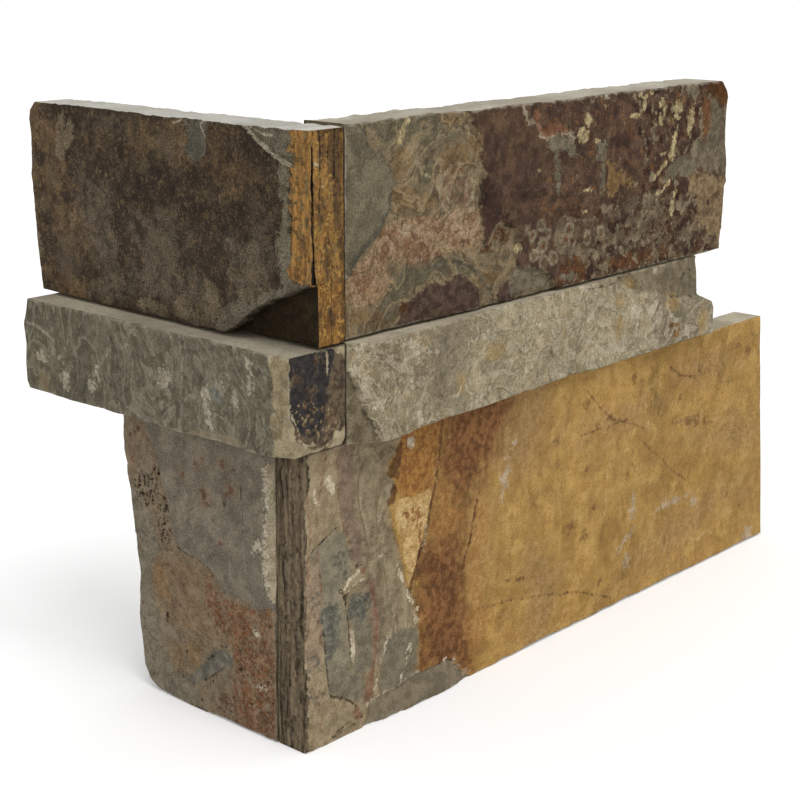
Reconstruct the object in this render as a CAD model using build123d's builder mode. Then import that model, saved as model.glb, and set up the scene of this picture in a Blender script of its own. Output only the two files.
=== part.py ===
from build123d import *
from math import sin
import os

# A corner piece of split slate cladding, six stones in three courses.
# X runs out along the long leg, Y along the short leg, Z is up.
# The origin is the inner corner of the wall, at the foot of the piece.
# Both backs are sawn flat: y = 0 behind the long leg, x = 0 behind the short leg.

# Courses and the adhesive between them
bottom_height = 150.0
middle_height = 49.0
top_long_height = 99.0
top_short_height = 97.6
bed_gap = 1.0
corner_gap = 0.8

# Long leg stones: length from the inner corner, thickness from the back
bottom_long_length = 390.0
bottom_long_thickness = 19.5
bottom_long_lean = 8.0
middle_long_length = 314.0
middle_long_near_thickness = 36.0
middle_long_far_thickness = 27.5
middle_long_taper = 170.0
top_long_length = 318.0
top_long_thickness = 26.2

# Short leg stones
bottom_short_length = 104.0
bottom_short_thickness = 25.0
bottom_short_lean = 5.0
middle_short_length = 169.0
middle_short_thickness = 37.5
top_short_length = 175.0
top_short_lap_thickness = 27.0
top_short_far_thickness = 22.0

# The end of the bottom long stone laps over the bottom short stone.
# In the courses above, the short stones lap over the long ones, flush with the top long stone's face.
bottom_lap = 21.3
upper_lap = top_long_thickness

# Split faces
swell = 0.9
swell_wave = 34.0
section_pitch = 65.0
leaf_step = 1.4
thin_leaf_step = 0.7
foot_bite = 1.8

# The cracked front leaf of the top short stone, and the spall at its upper corner
front_leaf = 6.0
crack_width = 0.8
crack_reach = 16.0
leaf_bevel_length = 9.0
leaf_bevel_depth = 4.5
break_length = 58.0
break_height = 29.0
corner_spall_length = 41.0
corner_spall_height = 18.0
corner_spall_depth = 1.8

# The bevel and the spalled far end of the middle long stone
near_bevel = 16.0
end_spall_length = 114.0
end_spall_depth = 7.0
end_lip_length = 16.0
end_lip_height = 20.0

# Chips and bevels on the other stones
middle_corner_chip = 13.0
side_bevel_width = 5.7
side_bevel_fall = 85.0
foot_chip_length = 82.0
foot_chip_height = 15.0
foot_chip_depth = 2.6

# Adhesive pads stop short of the faces, the backs and the ends
face_setback = 6.0
back_setback = 3.0
end_setback = 5.0

middle_base = bottom_height + bed_gap
top_base = middle_base + middle_height + bed_gap
beyond = 12.0

os.makedirs("parts", exist_ok=True)


def long_face(depth, base):
    """Upright plane on the long leg, facing out: x away from the corner, y the height above base."""
    return Plane(origin=(0, -depth, base), x_dir=(1, 0, 0), z_dir=(0, -1, 0))


def short_face(depth, base):
    """Upright plane on the short leg, facing out: x towards the corner, y the height above base."""
    return Plane(origin=(-depth, 0, base), x_dir=(0, -1, 0), z_dir=(-1, 0, 0))


def outline(face, *edges):
    """A closed outline: each edge is a run of points, drawn as a curve if it has more than two."""
    with BuildSketch(face) as area:
        with BuildLine():
            for edge, following in zip(edges, edges[1:] + edges[:1]):
                if len(edge) == 2:
                    Line(*edge)
                elif len(edge) > 2:
                    Spline(*edge)
                if edge[-1] != following[0]:
                    Line(edge[-1], following[0])
        make_face()
    return area.sketch


def bitten_foot(start, end, bites):
    """A split lower edge: flat where it stands, with shallow hollows at shares of its length."""
    edges = []
    at = start
    for share, width, depth in bites:
        centre = start + (end - start) * share
        edges.append([(at, 0), (centre - width / 2, 0)])
        edges.append([(centre - width / 2, 0), (centre, depth), (centre + width / 2, 0)])
        at = centre + width / 2
    edges.append([(at, 0), (end, 0)])
    return edges


def split_waste(face, start, end, height, phase):
    """The stone split away in front of a face: its inner side swells gently, as slate splits."""
    count = max(3, round((end - start) / section_pitch) + 1)
    levels = [height * share for share in (-0.1, 0.3, 0.7, 1.1)]
    with BuildPart() as waste:
        for index in range(count):
            along = start + (end - start) * index / (count - 1)
            points = []
            for level in levels:
                ripple = sin(along / swell_wave + phase) + sin(level / swell_wave + 2 * phase)
                points.append((-swell * (2 + ripple) / 4, level))
            origin = face.from_local_coords(Vector(along, 0, 0))
            with BuildSketch(Plane(origin=origin, x_dir=face.z_dir, z_dir=-face.x_dir)):
                with BuildLine():
                    Spline(*points)
                    Polyline(points[-1], (beyond, levels[-1]), (beyond, levels[0]), points[0])
                make_face()
        loft()
    return waste.part


def adhesive(name, low, high):
    """A pad of adhesive that fills the gap between two stones, face to face, up to its setbacks."""
    with BuildPart() as pad:
        with Locations(low):
            Box(*[far - near for near, far in zip(low, high)], align=(Align.MIN, Align.MIN, Align.MIN))
    pad.part.label = name
    export_step(pad.part, f"parts/{name}.step")


# Bottom course, long leg: the longest stone, thin and flat, its far end leaning out at the foot.
# Its near end laps over the short leg and shows the edge grain. The stained skin has come off there.
far_foot = bottom_long_length + bottom_long_lean
far_top = bottom_long_length - bottom_long_lean
skin_edge = [
    (41, bottom_height + beyond), (37, bottom_height * 0.91), (36, bottom_height * 0.75),
    (46, bottom_height * 0.53), (56, bottom_height * 0.3), (61, bottom_height * 0.1), (62, -beyond),
]
off_near_end = -bottom_lap - beyond
with BuildPart() as bottom_long_stone:
    hollows = bitten_foot(-bottom_lap, far_foot, [
        (0.075, 14, foot_bite), (0.15, 22, foot_bite), (0.205, 18, foot_bite), (0.26, 16, foot_bite / 2),
        (0.43, 90, foot_bite), (0.69, 60, foot_bite), (0.87, 40, foot_bite),
    ])
    far_end = [(far_foot, 0), (far_foot - 5, 60), (far_top + 3, bottom_height - 40), (far_top, bottom_height)]
    extrude(outline(long_face(0, 0), *hollows, far_end, [(-bottom_lap, bottom_height)]),
            amount=bottom_long_thickness)
    face = long_face(bottom_long_thickness, 0)
    add(split_waste(face, off_near_end, far_foot + beyond, bottom_height, 0.4), mode=Mode.SUBTRACT)
    skin_lost = outline(face, skin_edge, [(off_near_end, -beyond)], [(off_near_end, bottom_height + beyond)])
    extrude(skin_lost, amount=-leaf_step - swell, mode=Mode.SUBTRACT)
    foot_chip = outline(face, [
        (20, -beyond), (24, foot_chip_height * 0.6), (40, foot_chip_height), (70, foot_chip_height),
        (foot_chip_length + 8, foot_chip_height * 0.6), (foot_chip_length + 20, -beyond),
    ])
    extrude(foot_chip, amount=-foot_chip_depth - swell, mode=Mode.SUBTRACT)
bottom_long_stone.part.label = "bottom_long_stone"
export_step(bottom_long_stone.part, "parts/bottom_long_stone.step")

# Bottom course, short leg: it butts on the back of the long stone and stands a little proud of its end,
# so its near edge is bevelled. A rusty leaf has come off below the blue-grey one.
with BuildPart() as bottom_short_stone:
    hollows = bitten_foot(-bottom_short_length + 18, -corner_gap, [
        (0.22, 20, foot_bite), (0.62, 22, foot_bite), (0.88, 12, foot_bite / 2),
    ])
    rounded_foot = [
        (-bottom_short_length - bottom_short_lean, bottom_height), (-bottom_short_length - 3, 120),
        (-bottom_short_length + 1, 60), (-bottom_short_length + 4, 24), (-bottom_short_length + 10, 7),
        (-bottom_short_length + 18, 0),
    ]
    extrude(outline(short_face(0, 0), *hollows, [(-corner_gap, bottom_height)], rounded_foot),
            amount=bottom_short_thickness)
    face = short_face(bottom_short_thickness, 0)
    off_far_end = -bottom_short_length - bottom_short_lean - beyond
    add(split_waste(face, off_far_end, beyond, bottom_height, 1.9), mode=Mode.SUBTRACT)
    rust_edge = [
        (off_far_end, bottom_height - 4), (-82, bottom_height - 22), (-78, bottom_height - 46),
        (-66, bottom_height - 65), (-46, bottom_height - 70), (-24, bottom_height - 87),
        (beyond, bottom_height - 84),
    ]
    rust_lost = outline(face, rust_edge, [(beyond, -beyond)], [(off_far_end, -beyond)])
    extrude(rust_lost, amount=-thin_leaf_step - swell, mode=Mode.SUBTRACT)
    bevel_foot = bottom_height - side_bevel_fall
    flush = bottom_short_thickness - bottom_lap
    with BuildSketch(Plane.XY.offset(bottom_height)):
        Polygon((-bottom_short_thickness, side_bevel_width + corner_gap),
                (-bottom_short_thickness + flush, corner_gap),
                (-bottom_short_thickness, corner_gap), align=None)
    with BuildSketch(Plane.XY.offset(bevel_foot)):
        Polygon((-bottom_short_thickness, corner_gap + side_bevel_width / 20),
                (-bottom_short_thickness + flush / 20, corner_gap),
                (-bottom_short_thickness, corner_gap), align=None)
    loft(mode=Mode.SUBTRACT)
bottom_short_stone.part.label = "bottom_short_stone"
export_step(bottom_short_stone.part, "parts/bottom_short_stone.step")

# Middle course, long leg: thickest at the corner, where its upright edge is bevelled back to the
# neighbour's end, and thinner to the far end, whose upper part has spalled away above a lip.
lip_end = middle_long_length - end_lip_length
spall_start = middle_long_length - end_spall_length
with BuildPart() as middle_long_stone:
    with BuildSketch(Plane.XY.offset(middle_base)):
        with BuildLine():
            Polyline((middle_long_length, -middle_long_far_thickness), (middle_long_length, 0),
                     (corner_gap, 0), (corner_gap, -upper_lap),
                     (near_bevel, -middle_long_near_thickness))
            Spline((near_bevel, -middle_long_near_thickness),
                   ((near_bevel + middle_long_taper) / 2,
                    -(middle_long_near_thickness * 0.4 + middle_long_far_thickness * 0.6)),
                   (middle_long_taper, -middle_long_far_thickness),
                   (middle_long_length, -middle_long_far_thickness))
        make_face()
    extrude(amount=middle_height)
    face = long_face(middle_long_far_thickness, middle_base)
    spall_edge = [
        (spall_start, middle_height + beyond), (spall_start + 24, middle_height - 9),
        (spall_start + 59, end_lip_height + 8), (lip_end, end_lip_height),
        (middle_long_length + beyond, end_lip_height - 2),
    ]
    spall = outline(face, spall_edge, [(middle_long_length + beyond, middle_height + beyond)])
    extrude(spall, amount=-end_spall_depth, mode=Mode.SUBTRACT)
    extrude(spall, amount=beyond, mode=Mode.SUBTRACT)
    lost_end = outline(
        long_face(0, middle_base),
        [(lip_end, end_lip_height), (lip_end - 3, middle_height + beyond)],
        [(middle_long_length + beyond, middle_height + beyond)],
        [(middle_long_length + beyond, end_lip_height - 4), (middle_long_length - 1, end_lip_height - 3)],
    )
    extrude(lost_end, amount=middle_long_near_thickness + beyond, mode=Mode.SUBTRACT)
middle_long_stone.part.label = "middle_long_stone"
export_step(middle_long_stone.part, "parts/middle_long_stone.step")

# Middle course, short leg: the thickest stone. Its lower front corner is knocked off.
with BuildPart() as middle_short_stone:
    far_end = [
        (-middle_short_length + 3, middle_height), (-middle_short_length - 1, middle_height * 0.7),
        (-middle_short_length, middle_height * 0.45), (-middle_short_length - 1.5, middle_height * 0.2),
        (-middle_short_length + 1, 0),
    ]
    extrude(outline(short_face(0, middle_base), far_end, [(upper_lap, 0)], [(upper_lap, middle_height)]),
            amount=middle_short_thickness)
    face = short_face(middle_short_thickness, middle_base)
    add(split_waste(face, -middle_short_length - beyond, upper_lap + beyond, middle_height, 3.1),
        mode=Mode.SUBTRACT)
    front_corner = Vector(-middle_short_thickness, -upper_lap, middle_base)
    chip_centre = front_corner + Vector(-1, -1, -1) * middle_corner_chip
    with Locations(chip_centre):
        Sphere(radius=middle_corner_chip * 2.1, mode=Mode.SUBTRACT)
    foot_scar = outline(face, [(-46, -beyond), (-38, 2.5), (-22, 5.5), (-6, 4.5), (4, -beyond)])
    extrude(foot_scar, amount=-leaf_step - swell, mode=Mode.SUBTRACT)
middle_short_stone.part.label = "middle_short_stone"
export_step(middle_short_stone.part, "parts/middle_short_stone.step")

# Top course, long leg: a smooth leaf at the corner, a torn hollow beside it down to the next leaves,
# and the flat purple-brown leaf out to the ragged far end.
with BuildPart() as top_long_stone:
    far_end = [
        (top_long_length - 1, 0), (top_long_length, 11), (top_long_length + 4, 44),
        (top_long_length, 60), (top_long_length, 90), (top_long_length - 6, top_long_height),
    ]
    extrude(outline(long_face(0, top_base), [(corner_gap, 0)], far_end, [(corner_gap, top_long_height)]),
            amount=top_long_thickness)
    face = long_face(top_long_thickness, top_base)
    add(split_waste(face, -beyond, top_long_length + beyond, top_long_height, 5.0), mode=Mode.SUBTRACT)
    smooth_edge = [
        (6, top_long_height + beyond), (18, top_long_height - 12), (33, top_long_height - 28),
        (31, top_long_height - 44), (10, top_long_height - 62), (-beyond, top_long_height - 72),
    ]
    purple_edge = [
        (145, -beyond), (130, 26), (118, 38), (100, top_long_height - 61), (97, top_long_height - 47),
        (103, top_long_height - 37), (96, top_long_height - 15), (90, top_long_height + beyond),
    ]
    torn = outline(face, smooth_edge, [(-beyond, -beyond)], purple_edge)
    extrude(torn, amount=-leaf_step - swell, mode=Mode.SUBTRACT)
    low_leaf = outline(long_face(top_long_thickness - leaf_step - swell, top_base),
                       [(38, 3), (48, 12), (70, 18), (88, 15), (99, 5)])
    extrude(low_leaf, amount=thin_leaf_step)
top_long_stone.part.label = "top_long_stone"
export_step(top_long_stone.part, "parts/top_long_stone.step")

# Top course, short leg: thickest at the lap, where its front leaf has cracked away and is worn to a bevel.
# The crack shows as an upright slit, the leaf has broken off at the foot of the corner, and a thin spall
# has left its upper corner.
lap_end = Vector(-top_short_lap_thickness, -upper_lap, top_base)
thin_end = Vector(-top_short_far_thickness, top_short_length, top_base)
along_face = (lap_end - thin_end).normalized()
with BuildPart() as top_short_stone:
    far_end = [
        (-top_short_length, top_short_height), (-top_short_length - 2.5, top_short_height - 10),
        (-top_short_length - 0.5, top_short_height - 20), (-top_short_length, top_short_height * 0.4),
        (-top_short_length + 1, 0),
    ]
    extrude(outline(short_face(0, top_base), far_end, [(upper_lap, 0)], [(upper_lap, top_short_height)]),
            amount=top_short_lap_thickness)
    face = Plane(origin=lap_end - along_face * upper_lap, x_dir=along_face,
                 z_dir=along_face.cross(Vector(0, 0, 1)))
    add(split_waste(face, -top_short_length - beyond, upper_lap + beyond, top_short_height, 0.9),
        mode=Mode.SUBTRACT)
    break_start = upper_lap - break_length
    break_edge = [
        (break_start - 8, -beyond), (break_start + 14, 8.4), (break_start + 31, 19.5),
        (upper_lap - 6, break_height - 3), (upper_lap + beyond, break_height + 3),
    ]
    extrude(outline(face, break_edge, [(upper_lap + beyond, -beyond)]), amount=-front_leaf,
            mode=Mode.SUBTRACT)
    spall_edge = [
        (upper_lap - corner_spall_length - 8, top_short_height + beyond),
        (upper_lap - corner_spall_length * 0.6, top_short_height - corner_spall_height * 0.35),
        (upper_lap + beyond, top_short_height - corner_spall_height),
    ]
    corner_spall = outline(face, spall_edge, [(upper_lap + beyond, top_short_height + beyond)])
    extrude(corner_spall, amount=-corner_spall_depth, mode=Mode.SUBTRACT)
    with BuildSketch(Plane.XY.offset(top_base)):
        Polygon((-top_short_lap_thickness, leaf_bevel_length - upper_lap),
                (-top_short_lap_thickness + leaf_bevel_depth, -upper_lap),
                (-top_short_lap_thickness, -upper_lap), align=None)
    extrude(amount=top_short_height, mode=Mode.SUBTRACT)
    crack_line = -top_short_lap_thickness + front_leaf
    with BuildSketch(Plane(origin=(0, -upper_lap, top_base), x_dir=(1, 0, 0), z_dir=(0, -1, 0))):
        Polygon((crack_line - crack_width, break_height - 6), (crack_line + crack_width, break_height - 6),
                (crack_line + crack_width / 2, top_short_height + beyond),
                (crack_line - crack_width / 2, top_short_height + beyond), align=None)
    extrude(amount=-crack_reach, mode=Mode.SUBTRACT)
top_short_stone.part.label = "top_short_stone"
export_step(top_short_stone.part, "parts/top_short_stone.step")

# Adhesive beds between the courses
long_bed_face = -(bottom_long_thickness - face_setback)
short_bed_face = -(top_short_far_thickness - front_leaf - back_setback)
adhesive("lower_long_bed",
         (corner_gap + end_setback, long_bed_face, bottom_height),
         (middle_long_length - end_setback, -back_setback, middle_base))
adhesive("lower_short_bed",
         (short_bed_face, corner_gap + end_setback, bottom_height),
         (-back_setback, bottom_short_length - end_setback, middle_base))
adhesive("upper_long_bed",
         (corner_gap + end_setback, long_bed_face, top_base - bed_gap),
         (lip_end - 3 - end_setback, -back_setback, top_base))
adhesive("upper_short_bed",
         (short_bed_face, corner_gap + end_setback, top_base - bed_gap),
         (-back_setback, middle_short_length - end_setback, top_base))

# Adhesive in the upright butt joints of the corner
adhesive("bottom_corner_bond",
         (-(bottom_lap - face_setback), 0, end_setback),
         (-back_setback, corner_gap, bottom_height - end_setback))
adhesive("middle_corner_bond",
         (0, -(upper_lap - face_setback), middle_base + end_setback),
         (corner_gap, -back_setback, middle_base + middle_height - end_setback))
adhesive("top_corner_bond",
         (0, -(upper_lap - face_setback), top_base + end_setback),
         (corner_gap, -back_setback, top_base + top_short_height - end_setback))
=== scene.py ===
import math

import bmesh
import bpy
import numpy as np
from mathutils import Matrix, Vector


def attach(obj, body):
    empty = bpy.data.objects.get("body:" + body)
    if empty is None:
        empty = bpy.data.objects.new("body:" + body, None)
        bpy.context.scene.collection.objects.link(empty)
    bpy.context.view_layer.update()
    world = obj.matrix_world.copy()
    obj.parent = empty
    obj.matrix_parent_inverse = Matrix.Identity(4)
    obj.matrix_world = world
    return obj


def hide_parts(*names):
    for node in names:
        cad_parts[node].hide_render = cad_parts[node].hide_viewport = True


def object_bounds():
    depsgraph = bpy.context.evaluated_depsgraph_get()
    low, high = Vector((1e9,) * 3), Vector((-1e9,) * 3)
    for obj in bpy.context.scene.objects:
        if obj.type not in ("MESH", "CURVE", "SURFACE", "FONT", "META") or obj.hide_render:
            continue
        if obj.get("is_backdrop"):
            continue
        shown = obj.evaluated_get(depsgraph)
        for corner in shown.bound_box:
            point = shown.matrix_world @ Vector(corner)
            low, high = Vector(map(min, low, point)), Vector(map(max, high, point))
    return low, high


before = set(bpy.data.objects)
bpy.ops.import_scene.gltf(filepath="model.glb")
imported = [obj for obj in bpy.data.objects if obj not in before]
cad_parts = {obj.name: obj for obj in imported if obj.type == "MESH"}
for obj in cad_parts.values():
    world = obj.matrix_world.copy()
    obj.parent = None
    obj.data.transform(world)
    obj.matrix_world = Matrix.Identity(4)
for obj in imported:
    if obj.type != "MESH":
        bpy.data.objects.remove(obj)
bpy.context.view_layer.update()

# Bottom course, long leg: a thin slab of slate, split on its face along an ochre stained skin and sawn
# on its back and beds. Its near end laps over the short leg and shows the dark edge grain, and the skin
# has come away beside it. It stands on its foot and carries the middle course on a bed of adhesive.
MM = 0.001
REACH = 14.0


def drift(x, y, size, seed, octaves=4):
    """A smooth random swell between -1 and 1 at points in mm, its widest waves about size across."""
    rng = np.random.default_rng(seed)
    total, weight = np.zeros(np.broadcast(x, y).shape), 0.0
    for octave in range(octaves):
        cells = rng.uniform(-1, 1, (97, 97))
        across, up = x * 2**octave / size + 40.0, y * 2**octave / size + 40.0
        column, row = np.floor(across).astype(int), np.floor(up).astype(int)
        a, b = across - column, up - row
        a, b = a * a * (3 - 2 * a), b * b * (3 - 2 * b)
        low = cells[column % 97, row % 97] * (1 - a) + cells[(column + 1) % 97, row % 97] * a
        high = cells[column % 97, (row + 1) % 97] * (1 - a) + cells[(column + 1) % 97, (row + 1) % 97] * a
        total += (low * (1 - b) + high * b) * 0.55**octave
        weight += 0.55**octave
    return total / weight * 1.6


def rise(low, high, value):
    """0 below low, 1 above high, and a smooth rise between."""
    share = np.clip((value - low) / (high - low), 0, 1)
    return share * share * (3 - 2 * share)


def through(*points):
    """A line through (place, value) points, as a function of the place."""
    places, values = zip(*points)
    return lambda place: np.interp(place, places, values)


def rippled(line, *ripples, least=-math.inf):
    """An edge of a stone: a level or a line, with ripples on it, each (height, width, seed), all in mm."""
    def edge(place):
        values = line(place) if callable(line) else line + 0 * place
        for height, width, seed in ripples:
            values = values + height * drift(place, 0 * place, width, seed)
        return np.maximum(values, least)
    return edge


def levels(node):
    """The heights of the foot and the head of a solid in the frame, in mm."""
    heights = [corner[2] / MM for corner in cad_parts[node].bound_box]
    return round(min(heights), 2), round(max(heights), 2)


def rounded(points, closed):
    """A smooth line through a few points, as an array of short runs."""
    points = np.array(points, float)
    ring = [points[-1], *points, points[0], points[1]] if closed else [points[0], *points, points[-1]]
    share = np.linspace(0, 1, 6)[:-1, None]
    runs = [0.5 * (2 * start + (end - before) * share
                   + (2 * before - 5 * start + 4 * end - after) * share**2
                   + (3 * start - before - 3 * end + after) * share**3)
            for before, start, end, after in zip(ring, ring[1:], ring[2:], ring[3:])]
    line = np.concatenate(runs)
    return line if closed else np.vstack([line, points[-1:]])


def drawn(line, closed, measure):
    """A field in mm around a line: measure(distance, inside) close to it, and -REACH far outside."""
    def field(u, z):
        values = np.full(u.shape, -REACH)
        (u0, z0), (u1, z1) = line.min(0) - REACH, line.max(0) + REACH
        close = (u > u0) & (u < u1) & (z > z0) & (z < z1)
        a, b = u[close], z[close]
        nearest, inside = np.full(a.shape, 1e9), np.zeros(a.shape, bool)
        for (ua, za), (ub, zb) in zip(line, np.roll(line, -1, axis=0) if closed else line[1:]):
            du, dz = ub - ua, zb - za
            share = np.clip(((a - ua) * du + (b - za) * dz) / max(du * du + dz * dz, 1e-9), 0, 1)
            nearest = np.minimum(nearest, np.hypot(a - ua - share * du, b - za - share * dz))
            if closed and za != zb:
                inside ^= ((za > b) != (zb > b)) & (a < ua + (b - za) * du / dz)
        values[close] = np.maximum(measure(nearest, inside), -REACH)
        return values
    return field


def patch(*points):
    """A closed patch on a face through points (along the leg, up), in mm."""
    return drawn(rounded(points, True), True, lambda away, inside: np.where(inside, away, -away))


def streak(width, *points):
    """A crack, vein or scratch of a given width through points (along the leg, up), in mm."""
    return drawn(rounded(points, False), False, lambda away, inside: width / 2 - away)


def blot(u0, z0, half_length, half_height=None, lean=0.0):
    """An oval spot: its centre and half sizes in mm, and its turn in degrees."""
    half_height = half_height or half_length
    turn = math.radians(lean)

    def field(u, z):
        across = (u - u0) * math.cos(turn) + (z - z0) * math.sin(turn)
        up = (z - z0) * math.cos(turn) - (u - u0) * math.sin(turn)
        inside = (1 - np.hypot(across / half_length, up / half_height)) * min(half_length, half_height)
        return np.maximum(inside, -REACH)
    return field


def blots(*spots):
    """Several spots, each with the values of a blot."""
    return [blot(*spot) for spot in spots]


def joined(shapes, u, z):
    """One field for several shapes: how deep a point is inside the nearest of them."""
    values = np.full(u.shape, -REACH)
    for shape in shapes:
        values = np.maximum(values, shape(u, z))
    return values


def leaf_step(height, u, z, *shapes, slope=(-0.4, 0.4)):
    """What a leaf of a given height adds inside some shapes, with a short slope along their edge, in mm."""
    return height * rise(*slope, joined(shapes, u, z))


def stations(length, pitch):
    """Shares of a length for the rows of a mesh: close together at both arrises, even between."""
    arris_rows, even_from = np.array([0.0, 0.4, 0.9, 1.5]), 2.3
    count = max(2, round((length - 2 * even_from) / pitch))
    even_rows = np.linspace(even_from, length - even_from, count + 1)
    return np.concatenate([arris_rows, even_rows, length - arris_rows[::-1]]) / length


def slab(name, leg, size, near, far, foot, head, depth, marks, ragged, arris, seed, pitch,
         end_marks=None, crack=None):
    """A closed block of stone whose face, ends and beds have rows of points close enough to carve.

    leg is "long" or "short" and size its rough length, height and thickness. near(z) and far(z) are
    its ends along the leg, foot(u) and head(u) its lower and upper edge, and depth(u, z) its thickness,
    all in mm. marks are named lists of shapes on the face, their edges ragged by some mm, and end_marks
    are on the near end, as (depth, up). arris is how far the edges are worn, pitch the room between the
    rows, and crack(z) how far out from the back a slit lies in the near end."""
    length, height, thickness = size
    crowding, crack_row, crack_reach, leaf_least = 0.3, 0.79, 9, 0.6
    along, up, out = [stations(side, pitch) for side in size]
    along = along - crowding * along * (1 - along)
    last = (len(along) - 1, len(up) - 1, len(out) - 1)
    number = -np.ones((len(along), len(up), len(out)), int)
    edge = np.zeros(number.shape, bool)
    edge[[0, -1]] = edge[:, [0, -1]] = edge[:, :, -1] = True
    number[edge] = np.arange(edge.sum())
    i, j, k = np.nonzero(edge)
    s, t, w = along[i], up[j], out[k]
    base = foot(0.0 * s).min()
    middle = near(base + height / 2) + (far(base + height / 2) - near(base + height / 2)) * s
    z = foot(middle) + (head(middle) - foot(middle)) * t
    u = near(z) + (far(z) - near(z)) * s
    uu, zz = u + ragged * drift(u, z, 11, seed, 5), z + ragged * drift(u, z, 11, seed + 1, 5)
    gap = np.minimum.reduce([s * length, (1 - s) * length, t * height, (1 - t) * height])
    chips = rise(0.55, 0.9, drift(u, z, 22, seed + 3))
    worn = arris * (1 + 0.8 * drift(u, z, 16, seed + 2, 5)) + 3 * arris * chips
    worn = np.maximum(worn, 0.25)
    inset = np.clip(gap / worn, 0, 1)
    thick = depth(uu, zz) - worn * (1 - np.sqrt(1 - (1 - inset) ** 2))
    d = w * thick
    ends, beds, front = (i == 0) | (i == last[0]), (j == 0) | (j == last[1]), k == last[2]
    if crack:
        row, line = round(crack_row * last[2]), crack(zz)
        past = (w - out[row]) / (1 - out[row])
        split_here = thick > line + leaf_least
        layered = np.where(w < out[row], w / out[row] * line, line + past * (thick - line))
        d = np.where(split_here, layered, d)
        u = np.where((i == 0) & (k == row) & split_here, u + crack_reach, u)
    place = np.stack([u, -d, z] if leg == "long" else [-d, u, z], 1) * MM
    faces = []
    for grid in (number[:, :, -1], number[0], number[-1], number[:, 0, :], number[:, -1, :]):
        corners = [grid[:-1, :-1], grid[1:, :-1], grid[1:, 1:], grid[:-1, 1:]]
        faces += np.stack([corner.ravel() for corner in corners], 1).tolist()
    back = [*number[:, 0, 0], *number[-1, 1:, 0], *number[-2::-1, -1, 0], *number[0, -2:0:-1, 0]]
    faces.append([int(v) for v in back])
    mesh = bpy.data.meshes.new(name)
    mesh.from_pydata(place.tolist(), [], faces)
    shell = bmesh.new()
    shell.from_mesh(mesh)
    bmesh.ops.recalc_face_normals(shell, faces=shell.faces)
    shell.to_mesh(mesh)
    shell.free()
    lean = np.stack([np.where(ends, np.sign(s - 0.5), 0), np.where(front, 1.0, 0),
                     np.where(beds & ~front & ~ends, np.sign(t - 0.5), 0)], 1)
    lean /= np.maximum(np.linalg.norm(lean, axis=1, keepdims=True), 1e-9)
    outward = lean * (1, -1, 1) if leg == "long" else lean[:, [1, 0, 2]] * (-1, 1, 1)
    sawn = k == 0
    fields = {"split": np.where(front, 1.0, 0), "end_grain": np.where(ends & ~front & ~sawn, 1.0, 0),
              "bed": np.where((beds & ~front & ~ends) | sawn, 1.0, 0),
              "rim": np.where(front, gap, (1 - w) * thickness)}
    fields.update({mark: np.where(sawn, -REACH, joined(shapes, uu, zz)) for mark, shapes in marks.items()})
    for mark, shapes in (end_marks or {}).items():
        on_end = joined(shapes, d + ragged * drift(d, z, 7, seed + 4), z + ragged * drift(d, z, 7, seed + 5))
        fields[mark] = np.where((i == 0) & ~sawn, on_end, -REACH)
    for mark, values in fields.items():
        mesh.attributes.new(mark, "FLOAT", "POINT").data.foreach_set("value", values.astype(np.float32))
    arrow = mesh.attributes.new("outward", "FLOAT_VECTOR", "POINT")
    arrow.data.foreach_set("vector", outward.astype(np.float32).ravel())
    stone = bpy.data.objects.new(name, mesh)
    bpy.context.scene.collection.objects.link(stone)
    return stone


def place_node(tree, kind, inputs=None, **settings):
    """Adds a node with its settings, and links or sets its inputs."""
    made = tree.nodes.new(kind)
    for key, value in settings.items():
        setattr(made, key, value)
    for key, value in (inputs or {}).items():
        if isinstance(value, bpy.types.NodeSocket):
            tree.links.new(value, made.inputs[key])
        else:
            made.inputs[key].default_value = value
    return made


def maths(tree, operation, *values):
    """The result of a Math node."""
    return place_node(tree, "ShaderNodeMath", dict(enumerate(values)), operation=operation).outputs[0]


def vectors(tree, operation, vector, other):
    """The result of a Vector Math node."""
    key = "Scale" if operation == "SCALE" else 1
    return place_node(tree, "ShaderNodeVectorMath", {0: vector, key: other}, operation=operation).outputs[0]


def span(tree, value, low, high):
    """A value spread smoothly from 0 at low to 1 at high."""
    inputs = {"Value": value, "From Min": low, "From Max": high}
    return place_node(tree, "ShaderNodeMapRange", inputs, interpolation_type="SMOOTHSTEP").outputs[0]


def mix(tree, share, first, second):
    """Two colours mixed."""
    return place_node(tree, "ShaderNodeMix", {0: share, 6: first, 7: second}, data_type="RGBA").outputs[2]


def noise(tree, vector, size, detail=4.0, roughness=0.55, distortion=0.0):
    """Noise about 0.5, its size in the unit of the vector."""
    inputs = {"Vector": vector, "Scale": maths(tree, "DIVIDE", 1.0, size), "Detail": detail,
              "Roughness": roughness, "Distortion": distortion}
    return place_node(tree, "ShaderNodeTexNoise", inputs).outputs[0]


def new_group(name, kind, inputs, outputs):
    """An empty node group with named inputs, (name, type, value), and outputs, (name, type)."""
    group = bpy.data.node_groups.new(name, kind)
    for label, socket, value in inputs:
        made = group.interface.new_socket(label, in_out="INPUT", socket_type="NodeSocket" + socket)
        if value is not None:
            made.default_value = value
    for label, socket in outputs:
        group.interface.new_socket(label, in_out="OUTPUT", socket_type="NodeSocket" + socket)
    return group, group.nodes.new("NodeGroupInput").outputs, group.nodes.new("NodeGroupOutput").inputs


def in_mm(tree, place, seed):
    """A place in mm, moved along by a seed so that no two stones share their grain."""
    shift = vectors(tree, "SCALE", (137.0, 71.0, 29.0), seed)
    return vectors(tree, "ADD", vectors(tree, "SCALE", place, 1 / MM), shift)


def on_piece(tree, seed):
    """The place on the piece itself in mm, from its Object coordinates."""
    return in_mm(tree, tree.nodes.new("ShaderNodeTexCoord").outputs["Object"], seed)


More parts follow.
